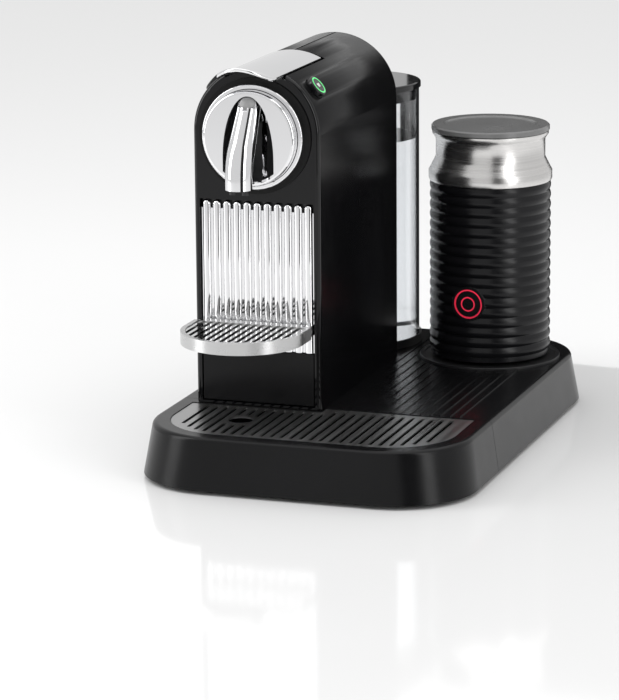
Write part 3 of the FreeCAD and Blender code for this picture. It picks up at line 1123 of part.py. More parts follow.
# ---------------------------------------------------------------- water tank
def build_tank():
    at = (MIDDLE, "tank_place")
    wide = ("-base_width", "base_width")

    def behind(name, item, plane, zs=("0", "base_depth")):
        return common(name, item, box(name + "_zone", wide, (plane, "base_depth"), zs))

    face = "body_back + tank_gap"
    outer = behind("tank_flat", cylinder("tank_round", "tank_radius", ("tank_low", "tank_high"), at), face)
    inner = behind("tank_room_flat",
                   cylinder("tank_room", "tank_radius - tank_wall", ("tank_low + tank_wall", "tank_high + 5"), at),
                   f"{face} + tank_wall")
    outlet = cylinder("tank_outlet", "valve_stem + 0.05", ("tank_low - 1", "tank_low + 5"), at)
    node("water_tank", cut("tank_hollow", outer, inner, outlet))
    node("tank_valve", fuse("valve_body",
         cylinder("valve_stem_rod", "valve_stem", (f"{DECK} + 0.6", "tank_low + tank_wall"), at),
         cylinder("valve_head", "valve_radius", ("tank_low + tank_wall", "tank_low + tank_wall + 6"), at)))
    seat_out = behind("seat_flat",
                      cylinder("seat_round", "tank_radius + 0.5 + seat_rim", (DECK, f"{DECK} + seat_rise"), at),
                      "body_back")
    seat_in = cylinder("seat_room", "tank_radius + 0.5", (f"{DECK} + seat_floor", f"{DECK} + 20"), at)
    seat_hole = cylinder("seat_hole", "valve_stem + 0.4", (f"{DECK} - 1", f"{DECK} + 5"), at)
    node("tank_seat", cut("seat_cut", seat_out, seat_in, seat_hole))
    cap_low = "tank_high + 0.4"
    cap = behind("cap_flat",
                 cylinder("cap_round", "tank_radius + cap_over", (cap_low, f"{cap_low} + cap_wall"), at),
                 "body_back + 0.4")
    high = value(f"{cap_low} + cap_wall")
    cap = soften("cap_soft", cap, 1.5, all_at("z", high))
    plug = behind("plug_flat",
                  cylinder("plug_round", "tank_radius - tank_wall - cap_fit",
                           (f"{cap_low} - cap_plug", cap_low), at),
                  f"{face} + tank_wall + cap_fit")
    plug_room = cylinder("plug_room", "tank_radius - tank_wall - cap_fit - 6",
                         (f"{cap_low} - cap_plug - 1", f"{cap_low}"), at)
    node("tank_lid", cut("cap_cut", fuse("cap_body", cap, plug), plug_room))


# ---------------------------------------------------------------- milk frother
JUG = ("jug_across", "jug_place")


def facing(name, radius, near, far):
    """Cylinder on the frother's button axis, between two distances from the frother's own axis."""
    item = doc_cylinder(name, radius, f"({far}) - ({near})")
    item.Placement.Rotation = Rotation(Vector(0, 0, 1), value("jug_turn")) * Rotation(Vector(1, 0, 0), 90)
    return put(item, f"jug_across + ({near}) * sin(jug_turn)", f"jug_place - ({near}) * cos(jug_turn)",
               "switch_height")


def build_frother():
    # seat on the deck
    pad = cut("pad_cut",
              cylinder("pad_disc", "pad_radius", (DECK, f"{DECK} + pad_rise"), JUG),
              cylinder("pad_room", "pad_radius - pad_band", (f"{DECK} + pad_floor", f"{DECK} + 5"), JUG),
              cylinder("pad_hole", "hub_radius - 4", (f"{DECK} - 1", f"{DECK} + 5"), JUG))
    pad_high = value(f"{DECK} + pad_rise")
    node("frother_seat", soften("pad_soft", pad, 0.4, all_at("z", pad_high)))
    node("frother_connector", fuse("hub_body",
         cylinder("hub_post", "hub_radius", (f"{DECK} + pad_floor", f"{DECK} + hub_rise"), JUG),
         cylinder("hub_root", "hub_radius - 5", (f"{DECK} - skirt_wall", f"{DECK} + pad_floor"), JUG)))

    # base cap, sleeve, collar and cup
    cap_high = "jug_low + 4"
    cap = fuse("jug_base_form",
               cylinder("jug_base_disc", "sleeve_radius - 1", ("jug_low", cap_high), JUG),
               cylinder("jug_base_plug", "sleeve_radius - sleeve_wall - 0.1",
                        (cap_high, f"{cap_high} + 4"), JUG))
    cap = cut("jug_base_cut", cap,
              cylinder("jug_base_room", "hub_radius + 0.6", ("jug_low - 1", f"{DECK} + hub_rise + 0.6"), JUG))
    foot_edge = value("jug_low")
    node("frother_base_cap", soften("jug_base_round", cap, 0.9,
         lambda edge: all_at("z", foot_edge)(edge) and edge.Curve.Radius > 20))

    low = cap_high
    pitch = f"((sleeve_high - ({low})) / rib_count)"
    section = f"(({pitch})^2 / (8 * rib_depth) + rib_depth / 2)"
    ribs = [cylinder("sleeve_core", "sleeve_radius - rib_depth + 0.15", (low, "sleeve_high"), JUG)]
    for index in range(int(value("rib_count"))):
        ribs.append(torus(f"rib_{index}", f"sleeve_radius - {section}", section,
                          (*JUG, f"{low} + ({index} + 0.5) * {pitch}")))
    boss = facing("switch_boss", "switch_bezel", "sleeve_radius - 3", "sleeve_radius - 0.3")
    ribs.append(boss)
    solid = common("sleeve_solid", fuse("sleeve_ribs", *ribs),
                   cylinder("sleeve_zone", "sleeve_radius + 5", (low, "sleeve_high"), JUG))
    bore = cylinder("sleeve_bore", "sleeve_radius - sleeve_wall", (f"{low} - 20", "sleeve_high + 20"), JUG)
    window = facing("switch_window", "glow_radius", "sleeve_radius - 8", "sleeve_radius + 8")
    flat = facing("switch_flat", "switch_bezel", "sleeve_radius - 0.3", "sleeve_radius + 5")
    node("frother_sleeve", cut("sleeve_cut", solid, bore, window, flat))
    node("frother_light", cut("glow_cut",
         facing("glow_out", "glow_radius", "sleeve_radius - 2", "sleeve_radius - 0.3"),
         facing("glow_in", "glow_radius - glow_width", "sleeve_radius - 5", "sleeve_radius + 5")))
    face = "sleeve_radius + 0.1"
    key = facing("key_body", "switch_radius", "sleeve_radius - 3.4", face)
    dot_groove = cut("dot_groove",
                     facing("dot_groove_out", "dot_radius", f"{face} - 0.5", f"{face} + 2"),
                     facing("dot_groove_in", "dot_radius - glow_width", f"{face} - 1", f"{face} + 3"))
    node("frother_button", cut("key_cut", key, dot_groove))
    node("frother_button_light", cut("dot_cut",
         facing("dot_out", "dot_radius", f"{face} - 0.5", face),
         facing("dot_in", "dot_radius - glow_width", f"{face} - 1", f"{face} + 3")))

    inner = "throat_radius - 1.1"
    node("frother_collar", turned("collar", [
        (inner, "throat_low - 2"), ("sleeve_radius - sleeve_wall", "bulge_high - 2"),
        ("sleeve_radius - sleeve_wall", "sleeve_high + 0.2"), ("bulge_radius - 0.5", "sleeve_high + 0.2"),
        ("bulge_radius", "sleeve_high + 1.4"), ("bulge_radius", "bulge_high - 2"),
        ("bulge_radius - 1.2", "bulge_high"), ("throat_radius + 0.6", "throat_low - 1.4"),
        ("throat_radius", "throat_low"), ("throat_radius", "throat_high - 2.5"),
        ("lip_radius", "throat_high + 1.2"), ("lip_radius", "lip_high"), (inner, "lip_high")], JUG))
    cup_r = f"{inner} - 0.1"
    cup = cut("cup_cut",
              cylinder("cup_out", cup_r, ("cup_floor", "lip_high - 0.2"), JUG),
              cylinder("cup_in", f"{cup_r} - cup_wall", ("cup_floor + cup_wall", "lip_high + 5"), JUG))
    node("frother_cup", fuse("cup_body", cup,
         cylinder("cup_pin", "hinge_radius", ("cup_floor + cup_wall - 0.2", "cup_floor + 8"), JUG)))

    # works below the cup
    node("frother_heater", cut("warm_cut",
         cylinder("warm_plate", "throat_radius - 5", ("cup_floor - 7", "cup_floor"), JUG),
         cylinder("warm_hole", "6", ("cup_floor - 10", "cup_floor + 1"), JUG)))
    node("frother_rotor", cut("rotor_cut",
         cylinder("rotor_disc", "rotor_radius", ("cup_floor - 14", "cup_floor - 8"), JUG),
         cylinder("rotor_bore", "1.5 + pin_fit", ("cup_floor - 15", "cup_floor"), JUG)))
    node("frother_motor", fuse("motor_body",
         cylinder("motor_can", "14", (f"{cap_high} + 4", "cup_floor - 16"), JUG),
         cylinder("motor_shaft", "1.5", ("cup_floor - 17", "cup_floor - 8.5"), JUG)))

    # whisk: hub, arms and coil ring
    whisk_z = "cup_floor + 5"
    spokes = [box("whisk_arm", ("jug_across - whisk_radius", "jug_across + whisk_radius"),
                  ("jug_place - 1.1", "jug_place + 1.1"), (f"{whisk_z} - 0.8", f"{whisk_z} + 0.8")),
              cylinder("whisk_hub", "4.5", ("cup_floor + cup_wall + 0.5", "cup_floor + 12"), JUG),
              torus("whisk_ring", "whisk_radius", "1.3", (*JUG, whisk_z))]
    node("frother_whisk", cut("whisk_cut", fuse("whisk_body", *spokes),
         cylinder("whisk_bore", "hinge_radius + pin_fit", ("cup_floor - 5", "cup_floor + 8.5"), JUG)))

    # lid with its gasket
    lid_low = "lip_high + lid_gap"
    lid_high = f"{lid_low} + lid_wall"
    plug_r = f"{cup_r} - cup_wall - 0.7"
    node("frother_lid", turned("lid", [
        ("0", f"{lid_high} - 0.8"), ("lid_dish", f"{lid_high} - 0.8"), ("lid_dish + 1", lid_high),
        ("lid_radius - 1", lid_high), ("lid_radius", f"{lid_high} - 1"), ("lid_radius", f"{lid_low} + 0.6"),
        ("lid_radius - 0.6", lid_low), (plug_r, lid_low), (plug_r, f"{lid_low} - 2.5"),
        (f"{plug_r} - gasket_wall", f"{lid_low} - 2.5"), (f"{plug_r} - gasket_wall", f"{lid_low} - 5"),
        (plug_r, f"{lid_low} - 5"), (plug_r, f"{lid_low} - lid_plug"),
        (f"{plug_r} - 3", f"{lid_low} - lid_plug"), (f"{plug_r} - 3", f"{lid_low} + 1"),
        ("knob_radius", f"{lid_low} + 1"), ("knob_radius", f"{lid_low} - lid_plug"),
        ("0", f"{lid_low} - lid_plug")], JUG))
    node("lid_gasket", cut("gasket_cut",
         cylinder("gasket_out", f"{plug_r} + 0.3", (f"{lid_low} - 4.9", f"{lid_low} - 2.6"), JUG),
         cylinder("gasket_in", f"{plug_r} - gasket_wall", (f"{lid_low} - 10", lid_low), JUG)))


# ---------------------------------------------------------------- build and export
def check_and_export():
    doc.recompute()
    faults = []
    for item in doc.Objects:
        if "Invalid" in item.State or "Error" in item.State:
            faults.append(f"{item.Name}: {item.State}")
    os.makedirs("parts", exist_ok=True)
    for name, item in NODES.items():
        shape = item.Shape
        if shape.isNull() or not shape.isValid() or not shape.Solids:
            faults.append(f"{name}: no valid solid")
            continue
        shape.exportStep(f"parts/{name}.step")
    if faults:
        raise RuntimeError("; ".join(faults))
    print(len(NODES), "nodes")


outer_form, inner_form = build_base()
build_tray(outer_form, inner_form)
build_body()
build_buttons()
build_lever()
build_frame()
build_brewing()
build_container()
build_works()
build_tank()
build_frother()
check_and_export()
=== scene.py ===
"""Looks of the pod coffee machine: finishes, water, button signs, studio and camera."""

import math

import bmesh
import bpy
from bpy.props import FloatProperty, FloatVectorProperty, PointerProperty
from mathutils import Matrix, Vector


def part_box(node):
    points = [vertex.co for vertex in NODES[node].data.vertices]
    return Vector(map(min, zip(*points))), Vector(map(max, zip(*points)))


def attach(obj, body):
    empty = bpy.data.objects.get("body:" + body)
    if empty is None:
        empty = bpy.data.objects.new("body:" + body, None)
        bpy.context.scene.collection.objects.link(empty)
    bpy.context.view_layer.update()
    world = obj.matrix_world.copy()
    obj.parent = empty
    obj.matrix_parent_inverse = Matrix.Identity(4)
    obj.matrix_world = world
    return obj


bl_info = {
    "name": "Pod coffee machine",
    "version": (1, 0, 0),
    "blender": (4, 5, 0),
    "location": "View3D > Sidebar > Coffee",
    "description": "Finishes and small parts of a pod coffee machine with a milk frother",
    "category": "Object",
}

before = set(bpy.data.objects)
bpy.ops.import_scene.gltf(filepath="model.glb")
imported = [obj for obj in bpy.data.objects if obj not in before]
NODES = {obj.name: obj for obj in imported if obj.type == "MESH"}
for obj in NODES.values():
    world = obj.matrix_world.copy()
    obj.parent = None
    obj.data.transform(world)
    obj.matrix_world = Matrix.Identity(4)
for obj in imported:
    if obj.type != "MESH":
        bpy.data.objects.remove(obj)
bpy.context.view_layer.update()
TANK_WALL = 0.002                   # wall of the water tank
BUTTON_LEAN = math.radians(50.5)    # lean of the coffee buttons' axis from upright
SIGN_FOOT, SIGN_RIM = 0.0015, 0.0022    # half widths of a cup sign, low and high
SIGN_FLATNESS = 0.1                 # a sign's thickness as a part of its width
RING_GLOW, SIGN_GLOW = 0.3, 0.05
CAMERA_TARGET = Vector((-0.00012, -0.00004, 0.06479))    # the camera's axis goes through it
SENSOR_WIDTH = 36                   # millimetres
WORLD_GLOW = 0.78
FLOOR_SHADE, FLOOR_ROUGHNESS, FLOOR_SPECULAR = 0.93, 0.08, 0.7
# name, place, the point it faces, width and height, power
SOFTBOXES = (
    ("Top_box", (0, 0.1, 1.8), (0, 0, 0), (2.4, 2.4), 13),
    ("Left_box", (-1.2, -0.6, 0.7), (-0.05, 0, 0.15), (0.5, 1.4), 8),
    ("Right_box", (1.3, -0.7, 0.7), (0, 0, 0.15), (0.4, 1.4), 6),
)
# name, place, width and height
DARK_CARDS = (
    ("Front_card", (0.52, -0.71, 0.7), (0.34, 1.38)),
    ("Rear_card", (0.03, 0.3, 0.15), (0.2, 0.28)),
)


# ---------------------------------------------------------------- settings
class CoffeeFinishes(bpy.types.PropertyGroup):
    """Colours and gloss of the machine's finishes."""

    body_black: FloatVectorProperty(
        name="Body black", description="Gloss plastic of the brewing body", subtype="COLOR",
        size=3, min=0, max=1, default=(0.003, 0.003, 0.0035))
    base_black: FloatVectorProperty(
        name="Base black", description="Plastic of the base and the drip tray", subtype="COLOR",
        size=3, min=0, max=1, default=(0.005, 0.005, 0.0055))
    chrome_tint: FloatVectorProperty(
        name="Chrome", description="Tint of the chrome pieces", subtype="COLOR",
        size=3, min=0, max=1, default=(0.80, 0.80, 0.81))
    steel_tint: FloatVectorProperty(
        name="Steel", description="Tint of the brushed steel", subtype="COLOR",
        size=3, min=0, max=1, default=(0.66, 0.65, 0.64))
    brew_light: FloatVectorProperty(
        name="Brewing light", description="Colour of the lit coffee buttons", subtype="COLOR",
        size=3, min=0, max=1, default=(0.10, 0.80, 0.22))
    heat_light: FloatVectorProperty(
        name="Heating light", description="Colour of the lit frother button", subtype="COLOR",
        size=3, min=0, max=1, default=(0.90, 0.03, 0.08))
    body_gloss: FloatProperty(
        name="Body roughness", description="Roughness of the gloss black plastic",
        subtype="FACTOR", min=0, max=1, default=0.08)
    shell_gloss: FloatProperty(
        name="Shell roughness", description="Roughness of the two outer shells",
        subtype="FACTOR", min=0, max=1, default=0.24)


class CoffeeSizes(bpy.types.PropertyGroup):
    """Sizes of the pieces that are made here."""

    water_height: FloatProperty(
        name="Water level", description="Height of the water in the tank above the table",
        subtype="DISTANCE", unit="LENGTH", default=0.1935)
    water_gap: FloatProperty(
        name="Water gap", description="Gap between the water and the tank's wall",
        subtype="DISTANCE", unit="LENGTH", default=0.0001)
    sign_height: FloatProperty(
        name="Sign height", description="How far the signs stand off the buttons",
        subtype="DISTANCE", unit="LENGTH", default=0.0003)


class CoffeeStudio(bpy.types.PropertyGroup):
    """Camera and lights."""

    distance: FloatProperty(
        name="Camera distance", description="Distance from the camera to the machine",
        subtype="DISTANCE", unit="LENGTH", default=2.5415)
    turn: FloatProperty(
        name="Camera turn", description="How far the camera stands to the right",
        subtype="ANGLE", unit="ROTATION", default=math.radians(18.14))
    pitch: FloatProperty(
        name="Camera pitch", description="How far the camera looks down",
        subtype="ANGLE", unit="ROTATION", default=math.radians(13.22))
    roll: FloatProperty(
        name="Camera roll", description="Turn of the camera about its own axis",
        subtype="ANGLE", unit="ROTATION", default=math.radians(-0.25))
    lens: FloatProperty(
        name="Lens", description="Focal length of the camera", unit="CAMERA", default=183.4498)
    shift_across: FloatProperty(
        name="Shift across", description="Sideways shift of the lens", default=-0.0857286)
    shift_up: FloatProperty(
        name="Shift up", description="Upward shift of the lens", default=-0.0037714)
    light: FloatProperty(
        name="Light", description="Strength of the studio's lights", min=0, default=1.0)


# ---------------------------------------------------------------- finishes
def new_finish(name):
    """Empty material with its shader and its output joined."""
    finish = bpy.data.materials.new(name)
    finish.use_nodes = True
    tree = finish.node_tree
    tree.nodes.clear()
    shader = tree.nodes.new("ShaderNodeBsdfPrincipled")
    output = tree.nodes.new("ShaderNodeOutputMaterial")
    tree.links.new(shader.outputs["BSDF"], output.inputs["Surface"])
    return finish, tree, shader


def object_points(tree, stretch=(1, 1, 1)):
    """Object coordinates, stretched for a grain that runs one way."""
    points = tree.nodes.new("ShaderNodeTexCoord")
    mapping = tree.nodes.new("ShaderNodeMapping")
    mapping.inputs["Scale"].default_value = stretch
    tree.links.new(points.outputs["Object"], mapping.inputs["Vector"])
    return mapping.outputs["Vector"]


def grain(tree, scale, detail, stretch=(1, 1, 1)):
    noise = tree.nodes.new("ShaderNodeTexNoise")
    noise.inputs["Scale"].default_value = scale
    noise.inputs["Detail"].default_value = detail
    tree.links.new(object_points(tree, stretch), noise.inputs["Vector"])
    return noise.outputs["Fac"]


def spread(tree, source, low, high):
    """Turn a grain from 0..1 into low..high."""
    ranged = tree.nodes.new("ShaderNodeMapRange")
    ranged.inputs["From Min"].default_value = 0.3
    ranged.inputs["From Max"].default_value = 0.7
    ranged.inputs["To Min"].default_value = low
    ranged.inputs["To Max"].default_value = high
    tree.links.new(source, ranged.inputs["Value"])
    return ranged.outputs["Result"]


def bump(tree, source, shader, strength, depth):
    node = tree.nodes.new("ShaderNodeBump")
    node.inputs["Strength"].default_value = strength
    node.inputs["Distance"].default_value = depth
    tree.links.new(source, node.inputs["Height"])
    tree.links.new(node.outputs["Normal"], shader.inputs["Normal"])


def shade(tree, source, shader, dark, light):
    """Base colour that drifts between two shades."""
    ramp = tree.nodes.new("ShaderNodeValToRGB")
    ramp.color_ramp.elements[0].position = 0.3
    ramp.color_ramp.elements[0].color = (*dark, 1)
    ramp.color_ramp.elements[1].position = 0.7
    ramp.color_ramp.elements[1].color = (*light, 1)
    tree.links.new(source, ramp.inputs["Fac"])
    tree.links.new(ramp.outputs["Color"], shader.inputs["Base Color"])


def scaled(colour, factor):
    return tuple(min(1.0, channel * factor) for channel in colour)


def moulded(name, colour, rough, texture=0.0, texture_scale=1500, specular=0.5):
    """Plastic: shade and gloss drift a little, and a fine moulded texture if it has one."""
    finish, tree, shader = new_finish(name)
    shader.inputs["Specular IOR Level"].default_value = specular
    drift = grain(tree, 9, 2)
    shade(tree, drift, shader, scaled(colour, 0.85), scaled(colour, 1.15))
    gloss = spread(tree, grain(tree, 60, 4), rough * 0.9, rough * 1.1)
    tree.links.new(gloss, shader.inputs["Roughness"])
    if texture:
        bump(tree, grain(tree, texture_scale, 3), shader, texture, 0.0002)
    return finish


def plated(name, colour, rough, waviness=0.0):
    """Polished metal with faint polishing waves."""
    finish, tree, shader = new_finish(name)
    shader.inputs["Metallic"].default_value = 1
    shade(tree, grain(tree, 12, 2), shader, scaled(colour, 0.98), scaled(colour, 1.02))
    gloss = spread(tree, grain(tree, 40, 4), rough * 0.8, rough * 1.2)
    tree.links.new(gloss, shader.inputs["Roughness"])
    if waviness:
        bump(tree, grain(tree, 45, 1), shader, waviness, 0.0006)
    return finish


def brushed(name, colour, rough, stretch, strength=0.25):
    """Steel with fine brushing lines across the stretched axis."""
    finish, tree, shader = new_finish(name)
    shader.inputs["Metallic"].default_value = 1
    lines = grain(tree, 1.0, 5, stretch)
    shade(tree, lines, shader, scaled(colour, 0.93), scaled(colour, 1.05))
    tree.links.new(spread(tree, lines, rough * 0.85, rough * 1.2), shader.inputs["Roughness"])
    bump(tree, lines, shader, strength, 0.00005)
    return finish


def lit(name, colour, strength):
    """Light guide that glows."""
    finish, tree, shader = new_finish(name)
    shader.inputs["Base Color"].default_value = (*colour, 1)
    shader.inputs["Emission Color"].default_value = (*colour, 1)
    shader.inputs["Emission Strength"].default_value = strength
    tree.links.new(spread(tree, grain(tree, 300, 2), 0.25, 0.4), shader.inputs["Roughness"])
    return finish


def clear(name, colour, ior, rough):
    """Clear plastic or water."""
    finish, tree, shader = new_finish(name)
    shader.inputs["Base Color"].default_value = (*colour, 1)
    shader.inputs["Transmission Weight"].default_value = 1
    shader.inputs["IOR"].default_value = ior
    gloss = spread(tree, grain(tree, 25, 2), rough * 0.8, rough * 1.2)
    tree.links.new(gloss, shader.inputs["Roughness"])
    return finish


def paint(finish, *names):
    """Give CAD nodes one finish."""
    for name in names:
        mesh = NODES[name].data
        mesh.materials.clear()
        mesh.materials.append(finish)


def soften(width, *names):
    """Join a CAD node's loose triangles and round its sharp edges, as moulded edges are."""
    for name in names:
        item = NODES[name]
        weld = item.modifiers.new("Join", "WELD")
        weld.merge_threshold = 0.00001
        if width:
            bevel = item.modifiers.new("Round", "BEVEL")
            bevel.width = width
            bevel.segments = 2
            bevel.limit_method = "ANGLE"
            bevel.angle_limit = math.radians(40)
            bevel.harden_normals = True


# ---------------------------------------------------------------- meshes
def make_piece(name, mesh_form, finish, body):
    """Turn a bmesh into a piece that rides on a body."""
    mesh = bpy.data.meshes.new(name)
    bmesh.ops.recalc_face_normals(mesh_form, faces=mesh_form.faces)
    mesh_form.to_mesh(mesh)
    mesh_form.free()
    piece = bpy.data.objects.new(name, mesh)
    bpy.context.scene.collection.objects.link(piece)
    mesh.materials.append(finish)
    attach(piece, body)
    return piece


def smooth(piece, angle=40):
    """Shade smooth, with edges sharper than the angle kept."""
    mesh = piece.data
    mesh.shade_smooth()
    mesh.set_sharp_from_angle(angle=math.radians(angle))
    return piece


# ---------------------------------------------------------------- operators
class COFFEE_OT_body(bpy.types.Operator):
    """Gloss black shells and panels of the brewing body"""

    bl_idname = "coffee.body"
    bl_label = "Brewing body"

    def execute(self, context):
        finishes = context.scene.coffee_finishes
        gloss = moulded("Gloss_black", finishes.body_black, finishes.body_gloss, specular=0.3)
        paint(gloss, "front_panel", "rear_panel")
        shell = moulded("Shell_black", finishes.body_black, finishes.shell_gloss, specular=0.12)
        paint(shell, "outer_shell_left", "outer_shell_right")
        matte = moulded("Inner_black", (0.012, 0.012, 0.013), 0.5, 0.3)
        paint(matte, "internal_frame", "capsule_guide", "brew_head", "button_switches",
              "tank_seat", "frother_connector", "spout_nozzles", "tank_valve")
        paint(moulded("Bezel_black", (0.003, 0.003, 0.003), 0.35, specular=0.2), "head_bezel")
        soften(0.0003, "front_panel", "rear_panel", "outer_shell_left", "outer_shell_right")
        return {"FINISHED"}


class COFFEE_OT_base(bpy.types.Operator):
    """Base, deck, drip tray and the steel grid"""

    bl_idname = "coffee.base"
    bl_label = "Base and tray"

    def execute(self, context):
        finishes = context.scene.coffee_finishes
        black = moulded("Base_black", finishes.base_black, 0.24, 0.05, 2500, specular=0.2)
        paint(black, "rear_base", "drip_tray", "container_front")
        paint(moulded("Plate_black", (0.02, 0.02, 0.02), 0.6, 0.4), "base_plate")
        paint(moulded("Foot_rubber", (0.012, 0.012, 0.012), 0.85, 0.5), "rubber_feet", "cord_gland")
        seat = moulded("Seat_black", (0.012, 0.012, 0.013), 0.35, 0.1)
        paint(seat, "frother_seat", "capsule_container")
        steel = brushed("Grid_steel", (0.42, 0.42, 0.42), 0.32, (300, 6, 300))
        paint(steel, "drip_grid")
        paint(plated("Screw_steel", (0.6, 0.6, 0.6), 0.25), "base_screws")
        return {"FINISHED"}


class COFFEE_OT_chrome(bpy.types.Operator):
    """Chrome head, spout, lever, fluted panel and shelf"""

    bl_idname = "coffee.chrome"
    bl_label = "Chrome pieces"

    def execute(self, context):
        finishes = context.scene.coffee_finishes
        polished = plated("Chrome", finishes.chrome_tint, 0.045)
        paint(polished, "head_ring", "head_disc", "coffee_spout", "spout_arch", "lever_plate",
              "fluted_panel")
        satin = plated("Satin_chrome", (0.55, 0.55, 0.55), 0.26)
        paint(satin, "shelf_rim", "shelf_pin", "lever_pin")
        paint(moulded("Plug_grey", (0.3, 0.3, 0.3), 0.3), "spout_plug")
        paint(plated("Bar_chrome", (0.7, 0.7, 0.7), 0.12), "shelf_grille")
        soften(0, "head_disc", "head_ring", "coffee_spout", "lever_plate", "fluted_panel",
               "shelf_rim")
        return {"FINISHED"}


class COFFEE_OT_works(bpy.types.Operator):
    """Works inside the machine and the frother"""

    bl_idname = "coffee.works"
    bl_label = "Inner works"

    def execute(self, context):
        cast = plated("Cast_alloy", (0.5, 0.5, 0.5), 0.45, 0.3)
        paint(cast, "thermoblock", "lever_arms", "capsule_cage", "frother_heater", "frother_motor",
              "piercing_blades")
        paint(moulded("Coil_varnish", (0.2, 0.08, 0.04), 0.3, 0.4), "pump")
        paint(moulded("Board_green", (0.02, 0.14, 0.06), 0.45, 0.2), "control_board")
        paint(moulded("Tube_white", (0.7, 0.7, 0.68), 0.35, 0.1), "water_tubes")
        paint(moulded("Magnet_black", (0.02, 0.02, 0.02), 0.4, 0.2), "frother_rotor")
        return {"FINISHED"}


class COFFEE_OT_tank(bpy.types.Operator):
    """Clear tank, its lid and the water in it"""

    bl_idname = "coffee.tank"
    bl_label = "Water tank"

    def execute(self, context):
        sizes = context.scene.coffee_sizes
        paint(clear("Clear_plastic", (0.93, 0.94, 0.95), 1.3, 0.05), "water_tank")
        paint(moulded("Lid_black", (0.008, 0.008, 0.009), 0.12), "tank_lid")
        # the water fills the tank's round wall and flat face up to the level
        low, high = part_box("water_tank")
        wall = TANK_WALL + sizes.water_gap
        radius = (high.x - low.x) / 2 - wall
        middle = Vector(((low.x + high.x) / 2, high.y - radius - wall, 0))
        floor = low.z + wall
        middle.z = (sizes.water_height + floor) / 2
        form = bmesh.new()
        bmesh.ops.create_cone(form, cap_ends=True, segments=128, radius1=radius, radius2=radius,
                              depth=sizes.water_height - floor, matrix=Matrix.Translation(middle))
        split = bmesh.ops.bisect_plane(form, geom=form.verts[:] + form.edges[:] + form.faces[:],
                                       plane_co=(0, low.y + wall, 0), plane_no=(0, -1, 0),
                                       clear_outer=True)
        rim = [item for item in split["geom_cut"] if isinstance(item, bmesh.types.BMEdge)]
        bmesh.ops.contextual_create(form, geom=rim)
        water = make_piece("Water", form, clear("Water_clear", (0.95, 0.96, 0.97), 1.33, 0.01),
                           "tank")
        smooth(water)
        return {"FINISHED"}


class COFFEE_OT_frother(bpy.types.Operator):
    """Steel and black sleeve of the milk frother"""

    bl_idname = "coffee.frother"
    bl_label = "Milk frother"

    def execute(self, context):
        finishes = context.scene.coffee_finishes
        steel = brushed("Brushed_steel", finishes.steel_tint, 0.24, (4, 4, 900))
        paint(steel, "frother_collar", "frother_cup", "frother_whisk")
        sleeve = moulded("Sleeve_black", (0.006, 0.006, 0.007), 0.24, 0.05, specular=0.25)
        paint(sleeve, "frother_sleeve", "frother_button", "frother_base_cap")
        paint(moulded("Frother_lid", (0.17, 0.17, 0.17), 0.2), "frother_lid")
        paint(moulded("Gasket_rubber", (0.02, 0.02, 0.02), 0.8, 0.3), "lid_gasket")
        soften(0, "frother_sleeve", "frother_collar")
        return {"FINISHED"}


class COFFEE_OT_lights(bpy.types.Operator):
    """Lit rings of the buttons and the cup signs on them"""

    bl_idname = "coffee.lights"
    bl_label = "Lit rings"

    def execute(self, context):
        finishes = context.scene.coffee_finishes
        sizes = context.scene.coffee_sizes
        key = moulded("Button_black", (0.006, 0.006, 0.007), 0.1)
        paint(key, "espresso_button", "lungo_button")
        brewing = lit("Brewing_light", finishes.brew_light, RING_GLOW)
        paint(brewing, "espresso_light", "lungo_light")
        sign = lit("Sign_light", (0.6, 0.62, 0.6), SIGN_GLOW)
        for side, name, height in ((1, "espresso", 0.0028), (-1, "lungo", 0.0044)):
            out = Vector((side * math.sin(BUTTON_LEAN), 0, math.cos(BUTTON_LEAN)))
            up = Vector((-side * math.cos(BUTTON_LEAN), 0, math.sin(BUTTON_LEAN)))
            low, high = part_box(f"{name}_light")
            face = (low + high) / 2 + out * sizes.sign_height
            turn = Matrix((out.cross(up), up, out)).transposed().to_4x4()
            # a flat cup, wider at its rim, stood upright on the button's face
            form = bmesh.new()
            bmesh.ops.create_cone(form, cap_ends=True, segments=32, radius1=SIGN_FOOT,
                                  radius2=SIGN_RIM, depth=height)
            bmesh.ops.rotate(form, verts=form.verts, cent=(0, 0, 0),
                             matrix=Matrix.Rotation(-math.pi / 2, 3, "X"))
            bmesh.ops.scale(form, verts=form.verts, vec=(1, 1, SIGN_FLATNESS))
            bmesh.ops.transform(form, verts=form.verts, matrix=Matrix.Translation(face) @ turn)
            make_piece(f"{name.capitalize()}_sign", form, sign, f"{name}_key")
        heating = lit("Heating_light", finishes.heat_light, RING_GLOW)
        paint(heating, "frother_light", "frother_button_light")
        return {"FINISHED"}


def area_light(name, place, target, size, power):
    """Softbox that faces a target and isn't seen by the camera."""
    data = bpy.data.lights.new(name, "AREA")
    data.shape = "RECTANGLE"
    data.size, data.size_y = size
    data.energy = power
    item = bpy.data.objects.new(name, data)
    bpy.context.scene.collection.objects.link(item)
    item.location = place
    aim = Vector(target) - Vector(place)
    item.rotation_euler = aim.to_track_quat("-Z", "Y").to_euler()
    item.visible_camera = False


